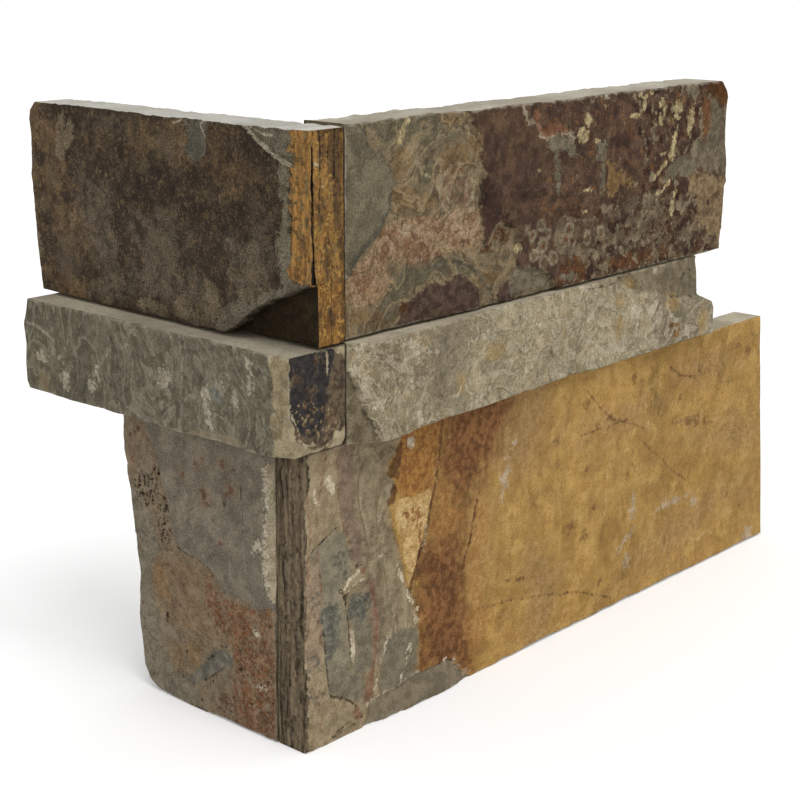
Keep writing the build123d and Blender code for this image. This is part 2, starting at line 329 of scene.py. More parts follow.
def stored(tree, name, kind="FLOAT"):
    """A field that slab() stored on the mesh, for Geometry Nodes."""
    return place_node(tree, "GeometryNodeInputNamedAttribute", {"Name": name}, data_type=kind).outputs[0]


# How slate splits: thin leaves that end in small steps, a rough grain over them, and torn layers on the
# upright ends.
relief, given, result = new_group("split_relief", "GeometryNodeTree", [
    ("Geometry", "Geometry", None), ("Leaf depth", "Float", 0.6), ("Leaf size", "Float", 60.0),
    ("Leaves", "Float", 5.0), ("Grain depth", "Float", 0.3), ("Grain size", "Float", 6.0),
    ("End depth", "Float", 0.7), ("Layer size", "Float", 2.0), ("Seed", "Float", 0.0),
    ("Stone", "Material", None),
], [("Geometry", "Geometry")])
spot = in_mm(relief, relief.nodes.new("GeometryNodeInputPosition").outputs[0], given["Seed"])
leaves = maths(relief, "MULTIPLY", noise(relief, spot, given["Leaf size"], 5.0, 0.5, 0.3), given["Leaves"])
riser = span(relief, maths(relief, "FRACT", leaves), 0.88, 1.0)
leaf_height = maths(relief, "ADD", maths(relief, "FLOOR", leaves), riser)
leaf_height = maths(relief, "DIVIDE", leaf_height, given["Leaves"])
grain_height = noise(relief, spot, given["Grain size"], 5.0, 0.62)
highest_leaf, highest_grain = 0.72, 0.75
below_leaf = maths(relief, "SUBTRACT", highest_leaf, leaf_height)
below_grain = maths(relief, "SUBTRACT", highest_grain, grain_height)
drop = maths(relief, "MULTIPLY", below_leaf, given["Leaf depth"])
drop = maths(relief, "MULTIPLY_ADD", below_grain, given["Grain depth"], drop)
drop = maths(relief, "MAXIMUM", drop, 0.0)
upright = vectors(relief, "MULTIPLY", spot, (1.0, 1.0, 0.07))
layers = maths(relief, "MULTIPLY_ADD", noise(relief, upright, given["Layer size"], 4.0, 0.6), 0.7,
               maths(relief, "MULTIPLY", noise(relief, spot, 7.0, 4.0, 0.6), 0.3))
below_layer = maths(relief, "MAXIMUM", maths(relief, "SUBTRACT", highest_grain, layers), 0.0)
torn = maths(relief, "MULTIPLY", below_layer, maths(relief, "MULTIPLY", given["End depth"], 4.0))
fall = maths(relief, "MULTIPLY_ADD", drop, stored(relief, "split"),
             maths(relief, "MULTIPLY", torn, stored(relief, "end_grain")))
inwards = maths(relief, "MULTIPLY", fall, -MM)
move = vectors(relief, "SCALE", stored(relief, "outward", "FLOAT_VECTOR"), inwards)
carved = place_node(relief, "GeometryNodeSetPosition",
                    {"Geometry": given["Geometry"], "Offset": move}).outputs[0]
for label, value in (("hollow", fall), ("leaf", leaf_height)):
    inputs = {"Geometry": carved, "Name": label, "Value": value}
    carved = place_node(relief, "GeometryNodeStoreNamedAttribute", inputs, data_type="FLOAT",
                        domain="POINT").outputs[0]
real = place_node(relief, "GeometryNodeRealizeInstances", {"Geometry": carved}).outputs[0]
coated = place_node(relief, "GeometryNodeSetMaterial",
                    {"Geometry": real, "Material": given["Stone"]}).outputs[0]
relief.links.new(coated, result["Geometry"])


def split(blank, finish, **sizes):
    """Gives a slab its split relief and its material, as a plain mesh."""
    modifier = blank.modifiers.new("split", "NODES")
    modifier.node_group = relief
    keys = {item.name: item.identifier for item in relief.interface.items_tree if item.in_out == "INPUT"}
    modifier[keys["Stone"]] = finish
    for label, value in sizes.items():
        modifier[keys[label.replace("_", " ").capitalize()]] = float(value)
    graph = bpy.context.evaluated_depsgraph_get()
    mesh = bpy.data.meshes.new_from_object(blank.evaluated_get(graph))
    blank.modifiers.remove(modifier)
    blank.data = mesh
    mesh.shade_smooth()
    mesh.set_sharp_from_angle(angle=math.radians(55))


# What the finishes are made of: stains with ragged edges, the small steps of split leaves with painted
# shade and highlights along them, mineral grain with painted shade in its hollows, and the layers of the
# ends.
stain_group, given, result = new_group("stain", "ShaderNodeTree", [
    ("Under", "Color", (0.2, 0.2, 0.2, 1)), ("Field", "Float", 0.0), ("Wobble", "Float", 0.5),
    ("Mottle", "Float", 0.5), ("Dark", "Color", (0.1, 0.1, 0.1, 1)), ("Light", "Color", (0.3, 0.3, 0.3, 1)),
    ("Soft", "Float", 0.6), ("Ragged", "Float", 2.0), ("Strength", "Float", 1.0)], [("Color", "Color")])
wobble = maths(stain_group, "SUBTRACT", given["Wobble"], 0.5)
inside = maths(stain_group, "MULTIPLY_ADD", wobble, maths(stain_group, "MULTIPLY", given["Ragged"], 6.0),
               given["Field"])
mask = span(stain_group, inside, maths(stain_group, "MULTIPLY", given["Soft"], -1.0), given["Soft"])
mask = maths(stain_group, "MULTIPLY", mask, given["Strength"])
tint = mix(stain_group, span(stain_group, given["Mottle"], 0.4, 0.6), given["Dark"], given["Light"])
stain_group.links.new(mix(stain_group, mask, given["Under"], tint), result["Color"])

# Steps of split leaves: Edge marks a painted shadow line along each step, and Lip a painted highlight beside
# it.
steps_group, given, result = new_group("split_steps", "ShaderNodeTree", [
    ("Size", "Float", 20.0), ("Steps", "Float", 9.0), ("Squash", "Vector", (1.0, 1.0, 1.0)),
    ("Seed", "Float", 0.0),
], [("Height", "Float"), ("Edge", "Float"), ("Lip highlight", "Float"), ("Tone", "Float")])
where = on_piece(steps_group, given["Seed"])
squashed = vectors(steps_group, "MULTIPLY", where, given["Squash"])
swell = noise(steps_group, squashed, given["Size"], 4.0, 0.5, 0.9)
swell = maths(steps_group, "MULTIPLY", swell, given["Steps"])
fraction = maths(steps_group, "FRACT", swell)
riser = span(steps_group, fraction, 0.8, 1.0)
level = maths(steps_group, "FLOOR", swell)
lip_start, lip_end = span(steps_group, fraction, 0.0, 0.06), span(steps_group, fraction, 0.1, 0.3)
edge = maths(steps_group, "SUBTRACT", 4.0, maths(steps_group, "MULTIPLY", riser, 4.0))
tone = place_node(steps_group, "ShaderNodeTexWhiteNoise", {"W": level}, noise_dimensions="1D")
steps_group.links.new(maths(steps_group, "SUBTRACT", lip_start, lip_end), result["Lip highlight"])
steps_group.links.new(maths(steps_group, "ADD", level, riser), result["Height"])
steps_group.links.new(maths(steps_group, "MULTIPLY", riser, edge), result["Edge"])
steps_group.links.new(tone.outputs["Value"], result["Tone"])

grain_group, given, result = new_group("mineral_grain", "ShaderNodeTree", [
    ("Color", "Color", (0.2, 0.2, 0.2, 1)), ("Size", "Float", 1.2), ("Contrast", "Float", 0.35),
    ("Broad", "Float", 0.5), ("Broad contrast", "Float", 0.2), ("Hollow", "Float", 0.0),
    ("Hollow dark", "Float", 0.2), ("Leaf", "Float", 0.5), ("Leaf contrast", "Float", 0.2),
    ("Tone", "Float", 0.5), ("Tone contrast", "Float", 0.15), ("Edge", "Float", 0.0),
    ("Edge dark", "Float", 0.2), ("Seed", "Float", 0.0),
], [("Color", "Color"), ("Height", "Float")])
where = on_piece(grain_group, given["Seed"])
fine = noise(grain_group, where, given["Size"], 4.0, 0.75)
shade, darkest = 1.0, 0.12
for value, contrast in ((given["Broad"], "Broad contrast"), (given["Leaf"], "Leaf contrast"),
                        (given["Tone"], "Tone contrast"), (fine, "Contrast")):
    swing = maths(grain_group, "MULTIPLY", given[contrast], 4.0)
    shade = maths(grain_group, "MULTIPLY_ADD", maths(grain_group, "SUBTRACT", value, 0.5), swing, shade)
# Painted shade: the colour darkens where the relief lies deep (Hollow) and along the step edges (Edge).
for value, dark in (("Hollow", "Hollow dark"), ("Edge", "Edge dark")):
    shade = maths(grain_group, "SUBTRACT", shade, maths(grain_group, "MULTIPLY", given[value], given[dark]))
shade = maths(grain_group, "MAXIMUM", shade, darkest)
grain_group.links.new(vectors(grain_group, "SCALE", given["Color"], shade), result["Color"])
grain_group.links.new(fine, result["Height"])

layer_group, given, result = new_group("end_layers", "ShaderNodeTree", [
    ("Dark", "Color", (0.05, 0.04, 0.03, 1)), ("Light", "Color", (0.3, 0.25, 0.2, 1)),
    ("Layer size", "Float", 2.5), ("Contrast", "Float", 1.0), ("Seed", "Float", 0.0),
], [("Color", "Color"), ("Height", "Float")])
where = on_piece(layer_group, given["Seed"])
bend = maths(layer_group, "MULTIPLY", noise(layer_group, where, 16.0, 3.0), 8.0)
upright = vectors(layer_group, "MULTIPLY", vectors(layer_group, "ADD", where, bend), (1.0, 1.0, 0.06))
bands = noise(layer_group, upright, given["Layer size"], 6.0, 0.7, 0.3)
mixed = maths(layer_group, "MULTIPLY_ADD", bands, 0.72,
              maths(layer_group, "MULTIPLY", noise(layer_group, where, 3.0, 6.0, 0.7), 0.28))
half = maths(layer_group, "DIVIDE", 0.15, given["Contrast"])
low, high = maths(layer_group, "SUBTRACT", 0.5, half), maths(layer_group, "ADD", 0.5, half)
stripe = span(layer_group, mixed, low, high)
layer_group.links.new(mix(layer_group, stripe, given["Dark"], given["Light"]), result["Color"])
layer_group.links.new(mixed, result["Height"])


def seen(red, green, blue):
    """A colour as it looks on screen, 0 to 255, in the renderer's linear light."""
    values = [c / 255 for c in (red, green, blue)]
    return (*[v / 12.92 if v <= 0.04045 else ((v + 0.055) / 1.055) ** 2.4 for v in values], 1.0)


class Finish:
    """One stone's material, laid on from the ground colour up."""

    def __init__(self, name, dark, light, mottle, seed):
        self.material = bpy.data.materials.new(name)
        self.material.use_nodes = True
        self.tree, self.seed, self.noises = self.material.node_tree, float(seed), {}
        self.place = self.tree.nodes.new("ShaderNodeTexCoord").outputs["Object"]
        self.colour, self.height = seen(*dark), 0.5
        everywhere = 50.0
        self.lay(everywhere, dark, light, mottle=mottle)

    def use(self, group, **inputs):
        """Places a node group with its own values, and returns its outputs."""
        inputs = {key.replace("_", " "): value for key, value in inputs.items()}
        return place_node(self.tree, "ShaderNodeGroup", inputs, node_tree=group).outputs

    def mark(self, name):
        """A field that slab() stored."""
        return place_node(self.tree, "ShaderNodeAttribute", attribute_name=name).outputs["Fac"]

    def rough(self, size, squash=(1.0, 1.0, 1.0), shift=0.0):
        """Noise of a size in mm, made once and shared."""
        key = (size, squash, shift)
        if key not in self.noises:
            place = vectors(self.tree, "MULTIPLY", in_mm(self.tree, self.place, self.seed + shift), squash)
            self.noises[key] = noise(self.tree, place, size, 5.0, 0.6)
        return self.noises[key]

    def lay(self, field, dark, light, soft=0.6, ragged=1.0, size=4.0, mottle=6.0, strength=1.0):
        """Lays a colour where a field is above nothing."""
        self.colour = self.use(stain_group, Under=self.colour, Field=field, Wobble=self.rough(size),
                               Mottle=self.rough(mottle, shift=5.0), Dark=seen(*dark), Light=seen(*light),
                               Soft=soft, Ragged=ragged, Strength=strength)["Color"]

    def stain(self, name, dark, light, within=None, **values):
        """Lays a colour on a marked place, kept within another one if that is named."""
        field, steep = self.mark(name), 24.0
        if within:
            edge = maths(self.tree, "MULTIPLY", self.mark(within), steep)
            field = maths(self.tree, "MINIMUM", field, edge)
        self.lay(field, dark, light, **values)

    def blotch(self, width, rarity, dark, light, on=None, squash=(1.0, 1.0, 1.0), **values):
        """Lays a colour in chance blotches about width mm across, on a marked place if one is named."""
        elsewhere = 1.3 * len(self.noises)
        field = maths(self.tree, "SUBTRACT", self.rough(width, squash, elsewhere), 0.5 + rarity)
        field = maths(self.tree, "MULTIPLY", field, width * 3.0)
        if on:
            field = maths(self.tree, "MINIMUM", field, self.mark(on))
        self.lay(field, dark, light, **values)

    def grain(self, size, contrast, broad=0.15, hollow=0.18, leaf=0.1, step_size=24.0, steps=9.0,
              squash=(1.0, 1.0, 1.0), step_depth=0.12, depth=0.5, tone=0.04, edge=0.2):
        """Fine mineral grain and the small steps of split leaves, with painted shade in nooks and at step
        edges.
        """
        stepped = self.use(steps_group, Size=step_size, Steps=steps, Squash=squash, Seed=self.seed)
        grained = self.use(grain_group, Color=self.colour, Size=size, Contrast=contrast,
                           Broad=self.rough(9.0), Broad_contrast=broad, Hollow=self.mark("hollow"),
                           Hollow_dark=hollow, Leaf=self.mark("leaf"), Leaf_contrast=leaf,
                           Tone=stepped["Tone"], Tone_contrast=tone, Edge=stepped["Edge"], Edge_dark=edge,
                           Seed=self.seed)
        self.colour = grained["Color"]
        raised = maths(self.tree, "MULTIPLY_ADD", stepped["Height"], step_depth,
                       maths(self.tree, "MULTIPLY", grained["Height"], depth))
        self.height = maths(self.tree, "ADD", raised, self.height)

    def flakes(self, on, size, steps, dark, light, depth=0.3, strength=0.7, squash=(1.0, 1.0, 1.0)):
        """Small torn flakes on a marked place: a painted shadow line below each edge and a painted highlight
        along it.
        """
        stepped = self.use(steps_group, Size=size, Steps=steps, Squash=squash, Seed=self.seed + size)
        there = maths(self.tree, "MULTIPLY", span(self.tree, self.mark(on), -0.5, 0.5), strength)
        for label, colour in (("Lip highlight", light), ("Edge", dark)):
            share = maths(self.tree, "MULTIPLY", stepped[label], there)
            self.colour = mix(self.tree, share, self.colour, seen(*colour))
        raised = maths(self.tree, "MULTIPLY", stepped["Height"], maths(self.tree, "MULTIPLY", there, depth))
        self.height = maths(self.tree, "ADD", self.height, raised)

    def ends(self, dark, light, layer=2.5, contrast=1.0, on="end_grain"):
        """The torn layers of the upright ends."""
        outputs = self.use(layer_group, Dark=seen(*dark), Light=seen(*light), Layer_size=layer,
                           Contrast=contrast, Seed=self.seed)
        on_end = self.mark(on)
        if on != "end_grain":
            wobble = maths(self.tree, "SUBTRACT", self.rough(4.0), 0.5)
            on_end = span(self.tree, maths(self.tree, "MULTIPLY_ADD", wobble, 9.0, on_end), -0.3, 0.3)
        self.colour = mix(self.tree, on_end, self.colour, outputs["Color"])
        inputs = {0: on_end, 2: self.height, 3: outputs["Height"]}
        self.height = place_node(self.tree, "ShaderNodeMix", inputs).outputs[0]

    def dust(self, dark, light, rim=0.8, strength=0.6):
        """Pale saw dust on the sawn beds and backs, faint marks of the saw in it, and pale arrises: wear and
        a painted highlight.
        """
        steep, full = 100.0, 0.97
        bed = maths(self.tree, "MULTIPLY_ADD", self.mark("bed"), steep, -steep * full)
        self.lay(bed, dark, light, mottle=40.0)
        shaded = [value * 0.88 for value in dark]
        for size, squash, share in ((1.6, (1.0, 1.0, 1.0), 0.4), (3.0, (0.05, 0.05, 1.0), 0.35)):
            marks = maths(self.tree, "MULTIPLY_ADD", self.rough(size, squash, 2.7), 20.0, -10.4)
            self.lay(maths(self.tree, "MINIMUM", bed, marks), shaded, dark, ragged=0.0, strength=share)
        # Paler along the arrises: wear, and a painted highlight.
        arris = maths(self.tree, "SUBTRACT", rim, self.mark("rim"))
        self.lay(arris, dark, light, ragged=1.2, size=6.0, strength=strength)

    def done(self):
        """Joins the colour and the grain to the shader."""
        shader = self.tree.nodes["Principled BSDF"]
        lift = place_node(self.tree, "ShaderNodeBump", {"Height": self.height, "Distance": MM})
        self.tree.links.new(self.colour, shader.inputs["Base Color"])
        self.tree.links.new(lift.outputs[0], shader.inputs["Normal"])
        for label, value in (("Roughness", 0.85), ("Specular IOR Level", 0.15)):
            shader.inputs[label].default_value = value
        return self.material


def fit(stone, node):
    """Puts a finished stone in the place of its solid."""
    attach(stone, "root")
    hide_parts(node)


skin = patch((55, 175), (47, 146), (46, 141), (42, 138), (38, 130), (37, 127), (41, 124), (41, 119),
             (38, 114), (38, 110), (40, 104), (41, 97), (44, 90), (45, 84), (48, 76), (50, 68), (54, 60),
             (57, 51), (59, 42), (60, 30), (60, 15), (60, -25), (430, -25), (430, 175))
foot_chip = patch((18, -12), (22, 6), (24, 11), (30, 12.5), (45, 14), (60, 15), (74, 15), (80, 16),
                  (86, 13), (90, 8), (97, 2), (110, -12))
round_leaf = patch((33, 15), (32, 26), (34, 37), (38, 42), (46, 43), (57, 41), (60, 30), (60, 16))
corner_leaf = patch((-30, 42), (-21, 41), (-10, 42), (-7, 36), (-5.5, 28), (-4, 24), (1, 21.5), (7, 18),
                    (12, 14), (17, 11), (21, 5), (24, -12), (-30, -12))
upper_tan = patch((-30, 165), (-30, 97), (-21, 98), (-16, 101), (-8, 106), (1, 109.5), (5, 111), (3, 124),
                  (1, 140), (0, 165))
small_flake = patch((4, 76), (8, 80), (13, 82.5), (17, 85), (20, 81), (22, 77), (19, 73), (12, 71.5),
                    (8, 72))
sunk_strip = patch((8, 74), (9, 60), (9.5, 48), (10.5, 38), (12, 33), (20, 30), (26, 36), (28, 50),
                   (26, 64), (22, 76))
blue_leaf = patch((-10, 68), (-9, 84), (-15, 100), (-6, 105), (1, 108), (7, 104), (10, 94), (11, 84),
                  (4, 77), (7, 66), (8, 50), (10, 38), (8, 30), (-4, 26), (-6, 40), (-8, 54))
ochre_marks = {
    "skin": [skin],
    "chip": [foot_chip],
    "tan": [upper_tan, corner_leaf, small_flake],
    "pink": [
        patch((-30, 130), (-18.5, 130), (-16.5, 112), (-16, 100), (-11, 92), (-10, 75), (-11, 60),
              (-10, 50), (-13, 42), (-30, 42)),
        patch((-20, 30), (-15, 30), (-12, 24), (-10.5, 16), (-11.5, 9), (-18, 8)), blot(15, 78, 4, 3)
    ],
    "purple_grey": [
        patch((0, 165), (1, 140), (3, 124), (6, 112), (10, 100), (12, 88), (18, 86), (20, 96), (15, 110),
              (13, 125), (12, 165)),
        patch((22, 78), (27, 77), (30, 60), (31, 45), (29, 32), (26, 34), (26, 50), (24, 64))
    ],
    "blue_leaf": [blue_leaf],
    "blue_grey": [
        patch((-9, 66), (-4, 72), (1, 68), (2, 54), (-2, 44), (-7, 48)),
        patch((10, 68), (14, 70), (22, 68), (24, 62), (20, 56), (12, 58))
    ],
    "blue_specks": [*blots(
        (-15, 76, 6, 4), (-14, 45, 6, 5), (-15, 29, 5, 4), (6, 92, 7, 5), (-4, 60, 8, 14), (17, 64, 8, 7),
        (5, 83, 5, 3)
    )],
    "grey": [
        round_leaf, foot_chip, patch((13, 57), (24, 55), (26, 40), (24, 30), (12, 32), (14, 44)),
        patch((-4, 34), (9, 34), (12, 30), (20, 24), (16, 14), (8, 19), (0, 23), (-4, 26))
    ],
    # Folds: darker tone with painted shade on their shaded sides, paler tone with a painted highlight on
    # their crests.
    "fold_dark_and_shade": [
        streak(3, (31, 80), (31, 62), (33, 46)), streak(2.5, (34, 140), (34, 118)),
        streak(2, (43, 70), (45, 54)), streak(3, (14, 122), (12, 114)), streak(3, (20, 98), (26, 88))
    ],
    "fold_light_and_highlight": [
        streak(3, (27, 77), (28, 58)), streak(4, (38, 82), (38, 58), (37, 47)),
        streak(3, (36, 150), (37, 128)), streak(3, (47, 66), (50, 48)),
        streak(4, (24, 144), (22, 122), (25, 108))
    ],
    "red": [
        streak(1.0, (-0.3, 150), (1, 140), (2.5, 125), (5, 112), (9, 102), (11, 94)),
        streak(0.8, (-6, 150), (-9, 136), (-11, 124), (-13, 114)),
        streak(0.9, (-18, 130), (-17, 112), (-18.5, 96), (-18, 84)),
        streak(0.9, (-12, 100), (-10, 90), (-9.5, 78), (-10.5, 66), (-10, 52)),
        streak(1.8, (25, 74), (28, 60), (29, 46), (27, 34), (25, 26)),
        streak(0.8, (-16, 31), (-12.5, 24), (-11, 16), (-11.5, 9)), blot(23, 20, 3.4, 9, -8),
        patch((12, 16), (15, 12), (18, 7), (14, 5), (11, 10)), blot(19, 83, 2, 2)
    ],
    "ripple": [
        streak(0.7, (10, 100), (20, 97), (32, 99), (42, 97)),
        streak(0.6, (14, 95), (24, 93), (34, 95), (43, 93)), streak(0.6, (18, 91), (28, 89), (38, 91)),
        streak(0.6, (24, 87), (32, 86), (40, 87)), streak(0.5, (12, 103), (24, 102), (38, 103))
    ],
    # Dark cracks, and painted shadow lines below the leaf steps beside the corner and beside the small flake.
    "dark": [
        streak(1.1, (-8.5, 60), (-7.5, 52), (-6.5, 44), (-5.5, 34), (-5, 27), (-3, 23.5), (2, 21),
               (8, 17.5), (13, 13)),
        streak(1.0, (7.5, 74), (8, 66), (8.8, 56), (9.4, 48), (10.5, 40), (11.5, 34)),
        streak(0.8, (-16, 101), (-12, 104), (-6, 107), (0, 109.4)),
        streak(1.4, (3.5, 77), (6, 73), (7, 68)),
        patch((-20, 147), (-17.5, 143), (-16.5, 135), (-19, 133), (-22, 134), (-22, 147)),
        streak(0.6, (13, 149.6), (24, 148.6), (40, 147)), streak(0.6, (11, 85), (15, 87), (20, 86)),
        streak(0.6, (60, 15), (74, 15), (80, 16), (86, 13), (91, 7)),
        streak(0.5, (-4, 3), (6, 6), (14, 7), (18, 6)), streak(0.4, (-8, 1), (2, 3.5), (12, 4))
    ],
    # The pale lines along the small flake's upper ridge are a painted highlight; the rest are pale specks,
    # flecks and a cream patch.
    "pale": [
        streak(0.9, (26, 11.5), (34, 13), (45, 14), (58, 15)),
        streak(1.6, (5, 77), (8, 79.5), (12, 81.5), (16, 83.5)), streak(1.2, (9, 75), (14, 77), (19, 78)),
        patch((10.6, 52), (12.6, 52), (13.6, 45), (13, 39), (12, 35), (10.8, 40)),
        patch((44, 79), (46, 75), (49, 69), (47.5, 69), (44.5, 74)),
        patch((49, 65), (54, 58), (55.5, 54), (52, 57), (48.5, 62)),
        streak(0.9, (33.5, 34), (35.5, 39.5), (40, 42.5)), *blots((57, 46, 1.4, 2), (33, 86.5, 1.8, 0.6)),
        *blots((52.5, 33, 1.5), (53.5, 30.5, 1), (51, 27, 1.2), (50, 24, 0.9), (48, 20.5, 0.9), (46, 18, 1),
               (28, 22, 1.3), (27, 18.5, 1.1), (79, 16.4, 1.2), (57, 51, 0.9), (26, 11.5, 0.9),
               (30, 12.6, 0.8), (34, 13.4, 0.8), (40, 14, 0.8), (46, 14.6, 0.9), (52, 15, 0.8),
               (59, 15.4, 0.9), (50, 31, 0.7), (22, 11, 1)),
        patch((-8, 135), (-4, 137), (-1, 131), (-1, 126), (-5, 129)),
        streak(1.2, (-13.5, 132), (-13, 127), (-11, 124)), patch((51, 143), (55, 141), (54, 137), (50, 139))
    ],
    "cream": [patch(
        (40, 112), (47, 113), (56, 112), (66, 113), (68, 106), (66, 98), (62, 90), (60, 84), (57, 76),
        (54, 70), (51, 66), (50, 72), (48, 80), (46, 90), (43, 98), (41, 106)
    )],
    "cream_vein": [
        streak(2.0, (53, 105), (57, 100), (59, 95), (59.5, 88), (60, 82)),
        *blots((57, 99, 3.4, 4), (50, 104, 2, 1))
    ],
    "orange": [
        patch((48, 147), (74, 147), (72, 128), (68, 113), (56, 111), (44, 113), (42, 122), (45, 136)),
        patch((88, 40), (98, 32), (102, 14), (100, 2), (90, 8), (88, 20)),
        streak(6, (62, 56), (64, 36), (63, 18))
    ],
    "ochre_mix": [
        patch((72, 113), (84, 112), (94, 100), (90, 86), (76, 82), (66, 86), (69, 100)),
        patch((106, 100), (112, 80), (108, 50), (116, 30), (104, 12), (98, 30), (98, 60), (100, 84))
    ],
    "brown_edge": [
        patch((47, 141), (43, 139), (38, 130), (37, 127), (41, 124.5), (44, 124), (45, 132)),
        patch((41, 121), (38, 115), (37, 111), (41, 113), (43, 118)),
        streak(1.8, (75.5, 150), (74.5, 138), (72.5, 124), (70, 112), (67, 102), (64.5, 91), (61, 83)),
        streak(2.0, (61, 84), (58, 77), (54, 68), (51.5, 62)),
        streak(1.6, (103, 97), (100.5, 86), (97, 75), (93, 66), (91, 57))
    ],
    "rust": [patch(
        (78, 165), (134, 165), (130, 140), (120, 124), (107, 110), (98, 96), (94, 72), (96, 46), (104, 26),
        (100, 8), (86, 8), (60, 16), (58, 40), (55, 58), (56, 74), (62, 84), (68, 98), (73, 116), (76, 140)
    )],
    "brown_haze": [
        patch((118, 165), (158, 165), (164, 140), (156, 118), (140, 106), (122, 108), (112, 124)),
        patch((146, 60), (160, 54), (172, 40), (170, 10), (160, -12), (146, -12), (150, 20)),
        patch((158, 42), (176, 40), (182, 30), (172, 24), (156, 28)),
        *blots((106, 92, 14, 12), (104, 64, 8, 16), (220, 114, 34, 6), (350, 80, 36, 8, -10),
               (320, 128, 24, 8), (300, 30, 50, 10, 14))
    ],
    "rust_spots": [
        *blots((186, 61, 2.6), (198, 53, 2.6), (200, 92.5, 2.4), (198, 129, 3), (208, 68, 1.6),
               (216, 19, 1.8), (243, 136, 3), (247, 82, 2), (241, 78, 1.6), (170, 115, 2.4),
               (221, 117, 2.4), (292, 114, 1.8), (351, 38, 2), (356, 135, 2.4), (368, 129, 2.4),
               (330, 123, 1.8), (313, 127, 1.8), (368, 28, 1.8), (104, 104, 1.6), (102, 84, 1.8)),
        blot(306, 97, 15, 2.4, -14)
    ],
    "hairline": [
        streak(0.9, (195, 139), (207, 129), (221, 117.5), (232, 112), (244, 108), (256, 103)),
        streak(0.9, (280, 135), (293, 128), (305, 125), (314, 119)),
        streak(0.9, (253, 97), (262, 90), (275, 80), (290, 68), (302, 61)),
        streak(0.8, (106, 37), (130, 33), (150, 30), (165, 27)),
        streak(1.1, (165, 27), (180, 23), (195, 19.5), (208, 14), (220, 9), (227, 6.5)),
        streak(1.6, (129, 45.6), (133, 44.6)), streak(1.8, (137, 44), (144, 42.6)),
        streak(0.6, (192, 113), (240, 112))
    ],
    "smudge": [
        *blots((379, 5, 6), (290, 50, 13, 2), (312, 44, 4, 2), (247, 58, 3, 6), (126, 102, 3, 7, -12),
               (63.5, 89, 1.4, 4), (134, 121, 2, 1.6), (128, 108, 2, 4), (240, 38, 6, 1.6, 30),
               (242, 25, 3, 4)), streak(1.4, (86, 13), (91, 8), (98, 2))
    ],
    "scratch": [
        streak(0.7, (265, 33), (270, 30), (277, 30)),
        streak(0.8, (308, 22), (318, 18), (330, 21), (338, 16)), streak(0.6, (220, 86), (219, 60)),
        streak(0.6, (256, 120), (262, 96))
    ],
    "edge_grain": [patch(
        (-30, 165), (-17, 165), (-18, 150), (-17, 140), (-19, 132), (-20, 120), (-20.4, 90), (-20, 70),
        (-20.6, 50), (-20, 30), (-20.6, 10), (-20, -10), (-30, -10)
    )],
}
bottom_foot, bottom_head = levels("bottom_long_stone")
foot_wave = through((-22, 0), (18, 0), (40, 0.4), (84, 0.6), (92, 0), (150, 1.6), (200, 1), (260, 2),
                    (398, 0.6))
far_lean = through((0, 397.6), (66, 390.6), (149, 381.6))


def bottom_long_depth(u, z):
    """Flat under the skin, a leaf lower and folded where the skin is lost, and broken out at the foot."""
    lost = rise(-0.5, 0.5, -skin(u, z))
    thick = 19.4 - 0.4 * rise(-1, 1, drift(u, z, 120, 5, 2)) - 0.75 * lost
    thick = thick - lost * 0.35 * (1 + drift(u, z, 18, 7)) + leaf_step(0.5, u, z, round_leaf)
    thick = thick + leaf_step(0.6, u, z, corner_leaf, small_flake)
    thick = thick - leaf_step(0.9, u, z, sunk_strip) - leaf_step(0.4, u, z, blue_leaf)
    thick = thick + leaf_step(0.5, u, z, upper_tan)
    thick = thick - leaf_step(0.25, u, z, *ochre_marks["fold_dark_and_shade"], slope=(-1.5, 1.0))
    lines = ochre_marks["dark"] + ochre_marks["ripple"]
    thick = thick - leaf_step(0.5, u, z, *lines, slope=(-0.3, 0.4)) * lost
    return thick - leaf_step(0.8, u, z, foot_chip) + leaf_step(3.4, u, z, foot_chip, slope=(0, 13))


bottom_long = slab(
    "bottom_long_slate", "long", (412, bottom_head - bottom_foot, 19.5),
    near=rippled(through((0, -22), (150, -20.2)), (0.4, 30, 11)),
    far=lambda z: far_lean(z) - 0.6 * drift(z, 0 * z, 30, 12) ** 2,
    foot=rippled(foot_wave, (0.5, 26, 13), (0.5, 9, 15), least=bottom_foot),
    head=rippled(bottom_head - 0.4, (0.3, 40, 14)),
    depth=bottom_long_depth, marks=ochre_marks, ragged=0.8, arris=0.45, seed=21, pitch=0.95)
finish = Finish("ochre_slate_stone", (121, 107, 83), (144, 130, 103), 6.0, 1)
finish.blotch(11, 0.08, (112, 99, 77), (126, 112, 88), ragged=1.5, strength=0.7)
finish.blotch(5, 0.1, (140, 126, 102), (152, 138, 114), squash=(1.0, 1.0, 0.35), soft=0.8, strength=0.6)
finish.flakes("split", 34.0, 7.0, (86, 72, 54), (158, 143, 116), depth=0.2, strength=0.5,
              squash=(1.0, 1.0, 0.35))
# Painted highlight on the crests of the folds, and their paler tone.
finish.stain("fold_light_and_highlight", (136, 122, 97), (150, 136, 110), soft=3.0, strength=0.8)
finish.stain("purple_grey", (112, 94, 79), (132, 114, 94), soft=2.0, ragged=1.5)
finish.stain("blue_leaf", (112, 106, 88), (132, 124, 103), ragged=1.2, strength=0.9)
finish.stain("pink", (126, 107, 86), (150, 130, 107), soft=2.0, ragged=2.0, strength=0.8)
finish.stain("tan", (127, 112, 86), (149, 133, 105), soft=0.4, ragged=0.8)
finish.stain("grey", (104, 96, 79), (123, 114, 94), ragged=0.8)
finish.stain("blue_grey", (88, 86, 76), (112, 108, 93), soft=1.4, ragged=3.0, size=3.0, mottle=3.0)
finish.blotch(3, 0.04, (70, 70, 64), (92, 90, 80), on="blue_specks", soft=0.5, ragged=1.2, size=2.0,
              strength=0.75)
